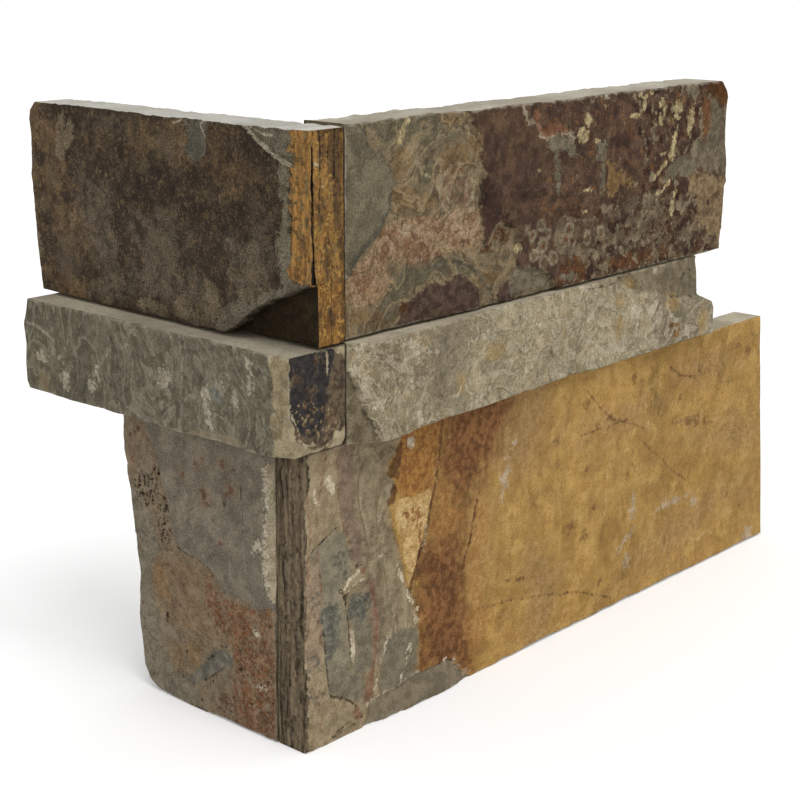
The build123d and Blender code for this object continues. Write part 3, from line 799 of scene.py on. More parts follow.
# Painted shade in the folds, and their darker tone.
finish.stain("fold_dark_and_shade", (102, 89, 71), (116, 102, 81), soft=2.5, strength=0.7)
finish.stain("red", (106, 72, 54), (132, 98, 76), ragged=0.8, size=2.5, strength=0.75)
finish.stain("skin", (148, 115, 60), (168, 134, 75), soft=0.25, ragged=0.4, size=2.5, mottle=16.0)
finish.blotch(34, 0.02, (142, 108, 58), (152, 120, 70), on="skin", soft=6.0, strength=0.6)
finish.blotch(15, 0.04, (168, 134, 72), (182, 150, 90), on="skin", soft=4.0, strength=0.65)
finish.blotch(9, 0.1, (134, 98, 54), (146, 112, 66), on="skin", soft=2.5, strength=0.55)
finish.blotch(1.6, 0.12, (126, 94, 54), (140, 108, 66), on="skin", soft=0.4, size=2.0, strength=0.45)
finish.stain("brown_haze", (134, 104, 66), (156, 126, 84), soft=11.0, ragged=7.0, size=9.0, mottle=3.0,
             strength=0.7)
finish.stain("orange", (126, 84, 42), (158, 114, 60), within="skin", soft=4.0, ragged=3.0, size=6.0,
             mottle=3.0)
finish.stain("rust", (92, 60, 33), (128, 89, 53), within="skin", soft=11.0, ragged=7.0, size=6.0, mottle=3.5)
finish.blotch(3.2, 0.06, (84, 53, 28), (102, 67, 37), on="rust", squash=(1.0, 1.0, 0.3), soft=1.4,
              strength=0.5)
finish.stain("ochre_mix", (140, 100, 52), (164, 124, 72), soft=5.0, ragged=6.0, size=6.0, mottle=3.0,
             strength=0.7)
finish.stain("chip", (104, 94, 76), (122, 111, 91), soft=0.3, ragged=0.3)
finish.stain("cream", (168, 138, 86), (196, 167, 116), soft=0.4, ragged=0.8)
finish.blotch(3, 0.08, (136, 98, 52), (156, 116, 66), on="cream", strength=0.7)
finish.stain("cream_vein", (112, 72, 38), (146, 104, 60), ragged=3.0, size=3.0)
finish.stain("brown_edge", (70, 44, 26), (100, 66, 40), soft=0.5, ragged=0.8, size=3.0, strength=0.85)
finish.stain("rust_spots", (92, 62, 38), (118, 86, 54), soft=1.2, ragged=2.4, size=3.0, strength=0.65)
finish.stain("smudge", (152, 134, 108), (178, 162, 138), soft=0.8, ragged=2.6, size=3.0, strength=0.75)
finish.stain("scratch", (178, 152, 106), (192, 168, 124), soft=0.5, strength=0.6)
finish.stain("hairline", (76, 50, 32), (104, 72, 44), soft=0.7, ragged=0.8, size=2.5, strength=0.8)
finish.stain("ripple", (92, 80, 62), (106, 94, 74), soft=0.5, ragged=0.8, size=2.5, strength=0.65)
# Dark cracks, with painted shadow lines below the leaf steps.
finish.stain("dark", (42, 35, 27), (66, 57, 43), soft=0.45, ragged=0.6, size=2.5, strength=0.9)
# Pale specks and flecks, and a painted highlight along the small flake's upper ridge.
finish.stain("pale", (164, 150, 124), (206, 194, 170), soft=0.35, size=2.0, mottle=2.5, strength=0.85)
finish.grain(0.8, 0.5, broad=0.1, step_size=24.0, steps=5.0, squash=(1.0, 1.0, 0.5), step_depth=0.12,
             edge=0.08, depth=0.3)
finish.dust((150, 140, 118), (184, 174, 152), rim=0.4, strength=0.3)
finish.ends((52, 43, 32), (112, 98, 77), layer=2.6, contrast=0.9)
finish.ends((40, 32, 23), (120, 105, 83), layer=2.4, contrast=1.2, on="edge_grain")
split(bottom_long, finish.done(), leaf_depth=0.7, leaf_size=70, leaves=6, grain_depth=0.22, grain_size=6,
      end_depth=1.0, seed=2)
fit(bottom_long, "bottom_long_stone")

# Bottom course, short leg: a block of blue-grey slate whose lower leaf has come off along a rusty, pitted
# layer. It butts on the back of the long stone and stands a little proud of its end, with a bevelled edge.
short_skin = patch((96, 165), (88.5, 140), (85, 134), (82, 126), (80, 120), (78, 114), (75.5, 109),
                   (74.5, 100), (71, 91), (68, 87), (66, 84.5), (58, 83), (50, 81), (45, 79), (42, 76),
                   (38, 73), (32, 70), (20, 69), (12, 66), (4, 70), (-12, 70), (-12, 165))
scar = patch((66, 14), (60, 20), (50, 30), (42, 38), (34, 37), (32, 31), (40, 26), (52, 19), (60, 13))
blue_marks = {
    "skin": [short_skin],
    "left_grey": [patch(
        (110, 102), (92, 100), (86, 84), (89, 60), (86, 40), (84, 24), (74, 14), (62, 10), (62, -10),
        (110, -10)
    )],
    "rust": [patch(
        (48, 76), (44, 68), (34, 66), (20, 65), (8, 66), (-4, 74), (-4, 2), (24, 2), (30, 18), (30, 40),
        (42, 50), (50, 60)
    )],
    "rust_heart": [
        patch((46, 66), (40, 64), (30, 62), (16, 60), (14, 52), (28, 49), (40, 50), (48, 56)),
        patch((-2, 76), (4, 71), (10, 64), (8, 50), (-2, 46)), *blots((14, 30, 18, 22), (24, 8, 20, 8))
    ],
    "tan_brown": [patch(
        (88, 74), (80, 70), (68, 76), (50, 74), (44, 60), (34, 44), (56, 40), (74, 44), (90, 52)
    )],
    "ochre": [
        patch((88, 72), (82, 70), (77, 62), (78, 54), (86, 54), (90, 62)),
        *blots((10, 127, 2.5, 3), (60, 30, 6, 8), (37, 117, 2.5, 4), (71, 26, 4, 5), (20, 62, 4, 2),
               (70, 114, 3, 5), (6, 112, 2, 6))
    ],
    "scar": [scar],
    "rust_spots": blots(
        (33.5, 136, 1.8), (27.5, 124, 1.9), (63.5, 124, 1.4), (48, 136, 1.0), (47, 117, 2.2),
        (36.5, 95, 1.4), (53, 132, 1.1), (104, 137, 1.6), (103, 124, 1.5), (97, 141, 1.2), (90, 136, 1.1),
        (26, 135, 0.9), (33, 116, 0.9), (69, 111, 1.0), (79, 45, 1), (74, 70, 1.2), (85, 124, 1.2),
        (45, 113, 1.4), (66, 64, 1.1), (78, 73, 1.1), (44, 76, 1.3), (46, 69, 1.6), (100, 139, 1.3),
        (50, 119, 1.3), (31, 121, 1.0)
    ),
    "rust_halo": blots(
        (33.5, 136, 4), (27.5, 124, 5), (47, 117, 6), (50, 133, 4), (64, 124, 4), (104, 132, 5)
    ),
    "pitted": [patch(
        (102, 112), (98, 117), (92, 119), (87, 121), (84, 125), (80, 121), (84, 115), (79, 110), (75, 106),
        (77, 98), (74, 92), (76, 84), (84, 83), (84, 94), (82, 101), (90, 102), (96, 100), (100, 106)
    )],
    "pits": blots(
        (96, 119, 0.6), (94, 116.6, 1.1), (91, 117, 0.8), (98, 113, 1.3), (97, 111, 0.9), (94, 113, 0.8),
        (95, 107, 1.1), (94, 104, 0.7), (91, 113, 0.6), (88, 117, 0.7), (86, 122, 0.8), (82, 120.4, 0.8),
        (100, 110, 0.7), (89, 110, 0.7), (86, 110, 1.0), (83, 107, 0.7), (82, 104, 0.8), (79, 108, 1.3),
        (78, 104, 1.1), (76, 106, 0.7), (80, 98, 0.6), (79, 95, 0.8), (78, 91, 0.7), (75, 93, 0.7),
        (81, 89, 0.7), (79, 87, 0.7), (82, 85, 0.7), (92, 102, 0.7), (88, 106, 0.6), (84, 102, 0.7),
        (26, 32, 1.1), (24, 29, 0.7), (36, 41, 0.8), (41, 40, 0.6), (60, 42, 0.6), (66, 29, 0.6),
        (43, 76, 0.8), (55, 6, 0.7), (14, 20, 0.8), (18, 15, 0.7), (6, 15, 0.8), (3, 21, 0.7), (6, 31, 0.6),
        (11, 28, 0.6), (46, 19, 0.6), (48, 31, 0.6), (33, 116, 0.5), (98, 121, 0.5), (69, 14, 0.6),
        (49, 54, 0.5), (4, 60, 0.7)
    ),
    "slot": [streak(1.6, (80, 46), (80, 42))],
    "bevel": [patch(
        (5, 140), (4.4, 130), (4.6, 116), (6, 104), (6.5, 96), (6.4, 88), (5, 80), (2, 73), (-8, 74),
        (-8, 140)
    )],
    "pale": [
        streak(1.3, (5.4, 139), (4.8, 126), (5, 112), (6.8, 102), (7, 90), (5, 80)), blot(6.4, 95, 1.4, 4),
        patch((9, 103), (12, 101), (14, 95), (12, 96), (9, 100)),
        *blots((13.5, 53.5, 2, 1.6), (11, 27, 1.4, 0.7))
    ],
    # Painted shadow: dark lines under the overhanging edge of the upper leaf and along the scar's edges.
    "overhang_shadow": [
        streak(1.1, (70, 85), (64, 83.6), (56, 82), (49, 80.6), (43, 77)),
        streak(0.7, (62, 13), (54, 17), (46, 22), (38, 28)), streak(0.5, (21, 128), (20.6, 116), (21, 104)),
        streak(0.6, (52, 28), (46, 33), (43, 32))
    ],
}
butt_joint = 0.9
short_far = through((0, 60), (1, 88), (2, 90), (5, 96), (12, 100), (25, 101), (40, 103), (50, 102),
                    (63, 101), (75, 103), (90, 103.4), (107, 105.4), (116, 107.4), (122, 107.4),
                    (128, 109.4), (150, 109.2))


def bottom_short_depth(u, z):
    """The upper leaf overhangs the rusty layer, and the edge beside the long stone is bevelled."""
    thick = 24.6 - 0.4 * rise(-1, 1, drift(u, z, 60, 35, 2)) - 0.9 * rise(-0.5, 0.5, -short_skin(u, z))
    rough_layer = 0.3 * (1 + drift(u, z, 20, 36)) * (z < 84)
    thick = thick - leaf_step(0.7, u, z, scar, slope=(-0.5, 1.5)) - rough_layer
    bevelled = np.clip((6.0 - u) / 5.2, 0, 1) * 3.4 * rise(64, 84, z)
    return thick - bevelled - leaf_step(1.2, u, z, *blue_marks["pits"], slope=(-0.3, 0.8))


bottom_short = slab(
    "bottom_short_slate", "short", (107, bottom_head - bottom_foot, 25),
    near=rippled(butt_joint), far=rippled(short_far, (0.5, 16, 41)),
    foot=rippled(bottom_foot + 0.7, (0.8, 30, 42), least=bottom_foot), head=rippled(bottom_head - 0.4),
    depth=bottom_short_depth, marks=blue_marks, ragged=0.8, arris=0.9, seed=43, pitch=0.62)
finish = Finish("blue_grey_slate_stone", (108, 94, 74), (126, 109, 86), 7.0, 20)
finish.blotch(10, 0.04, (104, 92, 76), (122, 110, 92), soft=2.0, strength=0.7)
finish.stain("left_grey", (108, 100, 84), (122, 114, 98), soft=2.5, ragged=3.0)
finish.stain("tan_brown", (108, 89, 65), (125, 104, 78), soft=4.0, ragged=3.0, strength=0.8)
finish.stain("rust", (110, 92, 70), (128, 108, 84), soft=3.0, ragged=3.0)
finish.stain("ochre", (124, 98, 62), (138, 112, 76), soft=1.8, ragged=2.0, strength=0.6)
finish.blotch(2.6, 0.07, (88, 56, 34), (108, 76, 48), on="rust", soft=0.5, size=2.0, strength=0.65)
finish.blotch(2.4, 0.04, (76, 46, 30), (98, 64, 42), on="rust_heart", soft=0.8, ragged=1.5, size=2.5,
              strength=0.85)
finish.blotch(2.2, 0.13, (84, 54, 34), (104, 72, 48), soft=0.4, size=2.0, strength=0.6)
finish.blotch(1.5, 0.05, (104, 64, 36), (126, 82, 50), on="rust", soft=0.3, size=2.0, strength=0.8)
finish.blotch(4, 0.12, (132, 116, 92), (144, 128, 104), strength=0.5)
finish.stain("skin", (106, 98, 84), (122, 113, 97), soft=0.4, ragged=0.8, size=3.0, mottle=12.0)
finish.blotch(14, 0.05, (94, 88, 76), (106, 98, 84), on="skin", soft=3.0, strength=0.7)
finish.blotch(9, 0.12, (124, 112, 92), (132, 120, 100), on="skin", soft=2.0, strength=0.5)
finish.flakes("split", 34.0, 6.0, (82, 72, 58), (132, 122, 104), depth=0.25, strength=0.3)
finish.stain("scar", (92, 88, 78), (118, 111, 97), soft=0.8, ragged=1.2)
finish.stain("rust_halo", (112, 92, 72), (122, 104, 84), soft=3.0, ragged=3.0, strength=0.6)
finish.stain("rust_spots", (76, 48, 30), (104, 72, 46), soft=0.8, ragged=1.2, size=2.5, strength=0.8)
finish.blotch(1.4, 0.06, (36, 27, 19), (58, 43, 30), on="pitted", soft=0.3, ragged=0.4, size=2.0,
              strength=0.9)
finish.stain("bevel", (140, 127, 103), (160, 147, 122), soft=0.5, ragged=1.2, size=2.5)
finish.stain("pale", (166, 156, 134), (192, 182, 160), soft=0.5, ragged=2.0, size=2.0, strength=0.8)
finish.stain("pits", (30, 23, 16), (50, 38, 27), soft=0.4, ragged=0.6, size=2.0, strength=0.9)
finish.stain("slot", (28, 22, 16), (40, 32, 24))
# Painted shadow under the overhanging leaf edge and along the scar.
finish.stain("overhang_shadow", (54, 42, 30), (74, 60, 44), soft=0.5, ragged=0.8, strength=0.85)
finish.grain(0.8, 0.65, broad=0.1, step_size=26.0, steps=7.0, step_depth=0.15, edge=0.14)
finish.ends((74, 66, 54), (122, 112, 94), layer=3.0, contrast=0.8)
finish.dust((140, 130, 110), (172, 162, 140), rim=0.5, strength=0.25)
split(bottom_short, finish.done(), leaf_depth=0.5, leaf_size=55, leaves=5, grain_depth=0.45, grain_size=5,
      end_depth=0.7, seed=5)
fit(bottom_short, "bottom_short_stone")

# Middle course, long leg: a course half as high, thickest at the corner where its edge is bevelled back to
# its neighbour's end. The upper part of its far end has spalled away above a lip.
spall = patch((206, 215), (212, 200), (226, 192), (244, 187), (256, 184), (266, 181), (276, 178),
              (290, 177), (330, 174), (330, 215))
bevel_foot = patch((-6, 188), (1.5, 187), (5, 178), (9, 167), (13, 158), (18, 148), (-6, 146))
tan_marks = {
    "near": [patch((-10, 215), (40, 215), (70, 205), (84, 180), (70, 160), (80, 140), (-10, 140))],
    "dark_patch": [patch((58, 200), (80, 200), (82, 188), (80, 172), (78, 156), (62, 158), (54, 176))],
    "spall": [spall],
    "far": [patch((236, 215), (232, 190), (246, 170), (250, 140), (340, 140), (340, 215))],
    "bevel_foot": [bevel_foot],
    "ochre": [
        *blots((216, 186, 5, 4), (228, 195, 6, 3, -20)),
        patch((262, 181), (274, 180), (276, 174), (266, 171)),
        *blots((302, 160, 6, 8), (106, 178, 8, 5), (76, 167, 4, 4), (216, 172, 4, 6))
    ],
    "crescent": [streak(1.8, (268, 163), (275, 163), (277, 159), (273, 156)), blot(273, 158, 2, 3)],
    # Dark cracks, with painted shadow along the bevel's foot and the spall's lip.
    "dark": [
        streak(0.7, (1.5, 187), (5, 178), (9, 167), (13, 158), (17, 151)),
        streak(0.8, (264, 181), (276, 179), (292, 176)), streak(1.0, (281, 188), (286, 192), (291, 192)),
        streak(0.5, (152, 170), (160, 162), (164, 158)), streak(0.6, (120, 199), (136, 201)),
        streak(0.5, (184, 198), (200, 197), (220, 198))
    ],
    "veins": [
        streak(1.0, (84, 187), (92, 188), (104, 187)), streak(0.9, (30, 187), (40, 189), (58, 186)),
        streak(0.8, (64, 164), (72, 162), (76, 166)), streak(0.7, (106, 196), (112, 199)),
        *blots((44, 158, 2, 5), (14, 170, 4, 2), (36, 196, 4, 2), (8, 176, 1.4, 4)),
        streak(0.7, (134, 186), (146, 184)),
        *blots((252, 197, 2), (286, 158, 4, 3), (232, 178, 5, 4), (248, 176, 5, 3), (184, 199, 6, 2),
               (190, 181, 3, 2), (216, 160, 6, 3)), streak(1.2, (264, 176), (270, 168), (276, 166))
    ],
    "arris_wear": [streak(1.8, (5.5, 205), (5, 192), (3.5, 186))],
}


def middle_long_depth(u, z):
    """Thickest beyond the bevel, tapering to the far end, with the spall above the lip."""
    thick = through((0, 26.3), (16, 35.6), (30, 34.2), (90, 30.0), (170, 27.3), (320, 27.2))(u)
    thick = thick - 0.5 * (1 + drift(u, z, 34, 55, 5)) - leaf_step(1.2, u, z, bevel_foot, slope=(-0.9, 0.9))
    deepening = leaf_step(4.6, u, z, spall, slope=(0, 60)) * rise(205, 300, u)
    return thick - leaf_step(2.2, u, z, spall, slope=(-0.5, 1.0)) - deepening


middle_foot, middle_head = levels("middle_long_stone")
middle_long = slab(
    "middle_long_slate", "long", (313, middle_head - middle_foot, 30),
    near=rippled(butt_joint),
    far=through((151, 314), (167, 313.6), (171, 311.4), (176.5, 298), (190, 297.4), (200, 296.4)),
    foot=rippled(middle_foot + 0.4, (0.5, 24, 51), least=middle_foot),
    head=rippled(middle_head - 0.1, (0.1, 40, 52)),
    depth=middle_long_depth, marks=tan_marks, ragged=1.0, arris=0.6, seed=53, pitch=0.72)
finish = Finish("tan_slate_stone", (140, 128, 101), (162, 150, 122), 5.0, 40)
finish.stain("near", (126, 114, 89), (150, 137, 111), soft=12.0, ragged=6.0, size=12.0, mottle=4.0)
finish.blotch(18, 0.05, (124, 113, 90), (140, 128, 103), soft=4.0, squash=(0.7, 1.0, 1.0), strength=0.7)
finish.blotch(9, 0.1, (156, 144, 118), (172, 160, 134), soft=1.5, squash=(0.6, 1.0, 1.0), strength=0.6)
finish.stain("far", (100, 91, 73), (130, 118, 97), soft=14.0, ragged=6.0, size=12.0, strength=0.65)
finish.blotch(3, 0.1, (168, 157, 133), (186, 175, 152), size=2.0, strength=0.6)
finish.blotch(5, 0.12, (150, 124, 80), (160, 136, 92), soft=1.0, strength=0.4)
finish.flakes("split", 26.0, 6.0, (98, 88, 69), (180, 169, 146), depth=0.6, strength=0.45)
finish.stain("dark_patch", (104, 94, 76), (128, 117, 95), soft=4.0, ragged=5.0, strength=0.6)
finish.stain("spall", (104, 93, 72), (126, 114, 92), soft=1.0)
finish.stain("bevel_foot", (104, 92, 70), (124, 112, 90))
finish.stain("ochre", (142, 116, 72), (160, 134, 90), soft=1.5, ragged=2.0, strength=0.7)
finish.stain("crescent", (96, 66, 36), (130, 96, 54), soft=0.8)
finish.stain("arris_wear", (166, 155, 132), (190, 180, 157), soft=0.8, ragged=1.6, size=3.0, strength=0.7)
finish.stain("veins", (172, 161, 139), (194, 184, 162), ragged=1.6, size=3.0, strength=0.65)
# Dark cracks, and painted shadow along the bevel's foot and the spall's lip.
finish.stain("dark", (58, 50, 38), (84, 74, 58), soft=0.5, strength=0.8)
finish.grain(0.9, 0.55, broad=0.08, tone=0.03, step_size=24.0, steps=6.0, step_depth=0.35, edge=0.14)
finish.ends((84, 72, 54), (136, 124, 100), layer=3.0, contrast=0.8)
finish.dust((160, 150, 128), (186, 176, 154), rim=0.5, strength=0.35)
split(middle_long, finish.done(), leaf_depth=1.1, leaf_size=34, leaves=6, grain_depth=0.7, grain_size=7,
      end_depth=0.8, seed=8)
fit(middle_long, "middle_long_stone")

# Middle course, short leg: the thickest stone, an olive block that stands out as a ledge over the bottom
# course and laps over the middle long stone. Its lower front corner is knocked off and its end is black.
olive_near = -26.0
foot_scar = patch((44, 148), (40, 154), (24, 156), (8, 156), (2, 150), (4, 146))
olive_marks = {
    "tan": [
        patch((-16, 205), (-15, 192), (-16, 180), (-14, 168), (-16, 158), (-14, 146), (-36, 146), (-36, 205)),
        patch((-18, 200), (-22, 190), (-20, 170), (-22, 150), (-40, 150), (-40, 200))
    ],
    "scuffs": [*blots(
        (136, 161, 3, 5, 10), (115, 163, 2.5, 4), (112, 169, 1.4, 4, 20), (155, 171, 4, 3),
        (30, 173, 2.4, 4), (29, 165, 2, 7, -12), (10, 174, 3, 4), (-1, 186, 2, 5), (0, 194, 1.4, 1),
        (60, 176, 4, 5), (-14, 197, 1.6, 1.6), (62, 161, 1.4, 2), (20, 178, 2, 3)
    )],
    "hatch": [
        streak(0.8, (88, 188), (82, 198)), streak(0.8, (91, 186), (86, 193)),
        streak(0.7, (80, 195), (78, 200)), streak(0.7, (52, 194), (56, 200)),
        streak(0.6, (42, 192), (46, 200)), streak(0.6, (12, 182), (20, 190)),
        streak(0.5, (124, 190), (118, 198)), streak(0.5, (106, 176), (100, 184)),
        streak(0.6, (64, 172), (56, 182))
    ],
    "left": [patch((180, 206), (110, 206), (116, 180), (108, 146), (180, 146))],
    "scratch": [
        streak(1.1, (168, 187), (158, 186), (150, 184), (144, 181)),
        streak(0.7, (130, 170), (136, 175), (142, 172))
    ],
    "tan_spots": [*blots((155, 158, 4, 6), (136, 161, 2, 3), (163, 168, 2, 3))],
    "blue": [blot(22, 175, 4, 4)],
    "foot_scar": [foot_scar],
    "dark": [streak(0.5, (72, 184), (68, 180), (66, 176)), streak(0.4, (46, 170), (44, 180))],
}
olive_end = {
    "black": [patch(
        (36.5, 200), (36.5, 186), (36, 176), (33.5, 168), (28, 162), (22, 160), (16, 163), (13, 172),
        (12, 182), (9, 190), (8, 204), (30, 204)
    )],
    "dark_low": [patch(
        (31, 163), (22, 157), (10, 154), (0, 156), (0, 190), (12, 190), (16, 172), (24, 166)
    )],
    "speckled": [patch((32, 176), (20, 178), (10, 172), (6, 160), (16, 156), (28, 160))],
    "cream_end": [
        streak(1.2, (12.5, 199), (12, 192), (11, 186)), streak(1.0, (5, 163), (7, 158), (12, 154)),
        streak(1.0, (30, 161), (26, 158), (20, 157)), streak(0.9, (36, 178), (33, 170), (30, 165)),
        blot(17, 200, 4, 1.2)
    ],
    "tan_end": [
        patch((44, 206), (37, 200), (36.5, 184), (36, 172), (32, 163), (26, 157), (14, 152), (10, 144),
              (44, 144)), patch((5, 160), (9, 157), (9, 150), (-2, 146), (-2, 160)),
        patch((8, 200), (4, 196), (-2, 196), (-2, 206), (12, 206))
    ],
    "rust_end": [*blots(
        (22, 178, 5, 8), (17, 192, 4, 7), (26, 166, 5, 4), (10, 172, 4, 9), (30, 190, 3, 6)
    )],
}


def middle_short_depth(u, z):
    """Flat, with a scar along its foot and its lower front corner knocked off."""
    thick = 37.2 - 0.35 * (1 + drift(u, z, 50, 65, 3)) - leaf_step(1.2, u, z, foot_scar, slope=(-0.6, 1.2))
    to_corner = np.hypot((u - olive_near) / 13, (z - middle_foot) / 8)
    return thick - 4.5 * np.clip((1 - to_corner) * 1.4, 0, 1)


middle_short = slab(
    "middle_short_slate", "short", (196, middle_head - middle_foot, 37.5),
    near=lambda z: olive_near + 2.0 * rise(middle_foot + 7, middle_foot, z),
    far=through((151, 167.5), (156, 170), (165, 170.3), (176, 169), (186, 170.5), (196, 167), (200, 166)),
    foot=rippled(middle_foot + 0.6, (0.7, 40, 61), least=middle_foot),
    head=rippled(middle_head - 0.2, (0.2, 40, 62)),
    depth=middle_short_depth, marks=olive_marks, end_marks=olive_end, ragged=0.9, arris=0.55, seed=63,
    pitch=0.6)
finish = Finish("olive_slate_stone", (92, 85, 69), (110, 103, 86), 6.0, 60)
finish.blotch(40, 0.02, (98, 92, 75), (114, 107, 90), soft=6.0)
finish.stain("left", (84, 78, 62), (102, 95, 78), soft=12.0, ragged=6.0, size=12.0, strength=0.8)
finish.blotch(3, 0.08, (112, 105, 88), (134, 127, 110), squash=(1.0, 1.0, 0.35), soft=0.3, ragged=0.3,
              strength=0.6)
finish.blotch(2, 0.1, (66, 60, 47), (80, 74, 60), squash=(1.0, 0.5, 0.35), soft=0.3, ragged=0.3,
              strength=0.5)
finish.blotch(4, 0.12, (76, 70, 56), (90, 83, 67), squash=(1.0, 0.5, 0.5), strength=0.6)
finish.flakes("split", 26.0, 7.0, (66, 60, 47), (136, 129, 111), depth=0.6, strength=0.45,
              squash=(1.0, 0.85, 0.6))
finish.stain("tan", (125, 111, 85), (153, 139, 110), ragged=1.4)
finish.stain("hatch", (128, 121, 104), (146, 139, 122), ragged=1.6, size=2.5, strength=0.65)
finish.stain("tan_spots", (120, 106, 78), (138, 122, 92), soft=2.0, strength=0.6)
finish.stain("blue", (96, 100, 98), (112, 116, 112), soft=2.0, strength=0.6)
finish.stain("scuffs", (138, 129, 110), (172, 162, 141), soft=0.8, ragged=2.2, size=2.5, strength=0.85)
finish.stain("scratch", (134, 126, 108), (150, 142, 124), soft=0.5, strength=0.75)
finish.stain("foot_scar", (124, 112, 88), (142, 130, 106), soft=0.8, strength=0.7)
finish.stain("dark", (56, 50, 39), (72, 65, 51), soft=0.45, strength=0.75)
finish.grain(0.8, 0.6, broad=0.1, step_size=30.0, steps=7.0, squash=(1.0, 0.9, 0.5), step_depth=0.4,
             edge=0.14)
finish.ends((70, 58, 44), (112, 98, 78), layer=3.0, contrast=0.8)
finish.stain("dark_low", (62, 52, 42), (98, 84, 66), soft=1.0, ragged=2.0, size=3.0, mottle=3.0)
finish.stain("black", (36, 34, 34), (54, 49, 46), soft=0.7, ragged=1.2, size=3.0, mottle=3.0)
finish.blotch(4, 0.03, (76, 60, 44), (104, 86, 64), on="rust_end", soft=0.5, ragged=1.5, strength=0.7)
finish.stain("tan_end", (133, 120, 94), (160, 146, 118), soft=0.5, ragged=1.4)
finish.blotch(2.2, 0.12, (120, 98, 68), (160, 138, 104), on="speckled", soft=0.35, size=2.0, strength=0.7)
finish.stain("cream_end", (142, 128, 101), (172, 158, 130), soft=0.4, size=2.5, strength=0.8)
finish.dust((146, 137, 118), (170, 161, 140), rim=0.5, strength=0.35)
split(middle_short, finish.done(), leaf_depth=0.35, leaf_size=60, leaves=5, grain_depth=0.4, grain_size=6,
      end_depth=0.6, seed=11)
fit(middle_short, "middle_short_stone")

# Top course, long leg: a grey-green leaf at the corner, a torn hollow of pink and ochre layers beside it,
# and a purple-brown sheet of ironstone out to the ragged far end, flowered with rings and cream flecks.
smooth_leaf = patch((-14, 315), (11, 315), (14, 300), (16, 290), (20, 287), (25, 285), (29, 279), (33, 272),
                    (32, 262), (30, 256), (24, 248), (17, 242), (9, 236), (2, 229), (-14, 222))
torn = patch((-14, 190), (-14, 315), (86, 315), (88, 300), (93, 290), (96, 282), (99, 272), (101, 262),
             (100, 252), (98, 245), (99, 237), (103, 232), (107, 239), (113, 242), (119, 240), (126, 236),
             (129, 229), (127, 221), (130, 215), (142, 213), (152, 208), (156, 190))
lens = patch((36, 198), (38, 205), (42, 211), (52, 214), (60, 219), (70, 217), (82, 220), (90, 216),
             (98, 210), (97, 203), (94, 198))
small_lens = patch((111, 198), (112, 205), (118, 210), (126, 213), (134, 213), (139, 209), (138, 205),
                   (128, 203), (122, 198))
rosettes = [(147, 217, 4.5), (155, 218, 4), (166, 226, 4.5), (172, 225, 4), (169, 231, 4), (137, 232, 3.6),
            (140, 222, 4), (146, 226, 5), (134, 236, 3), (144, 236, 4), (150, 232, 3), (186, 225, 4),
            (198, 226, 4)]


def ring(u0, z0, radius, width):
    """A round band of a given width."""
    return lambda u, z: np.maximum(width / 2 - np.abs(np.hypot(u - u0, z - z0) - radius), -REACH)


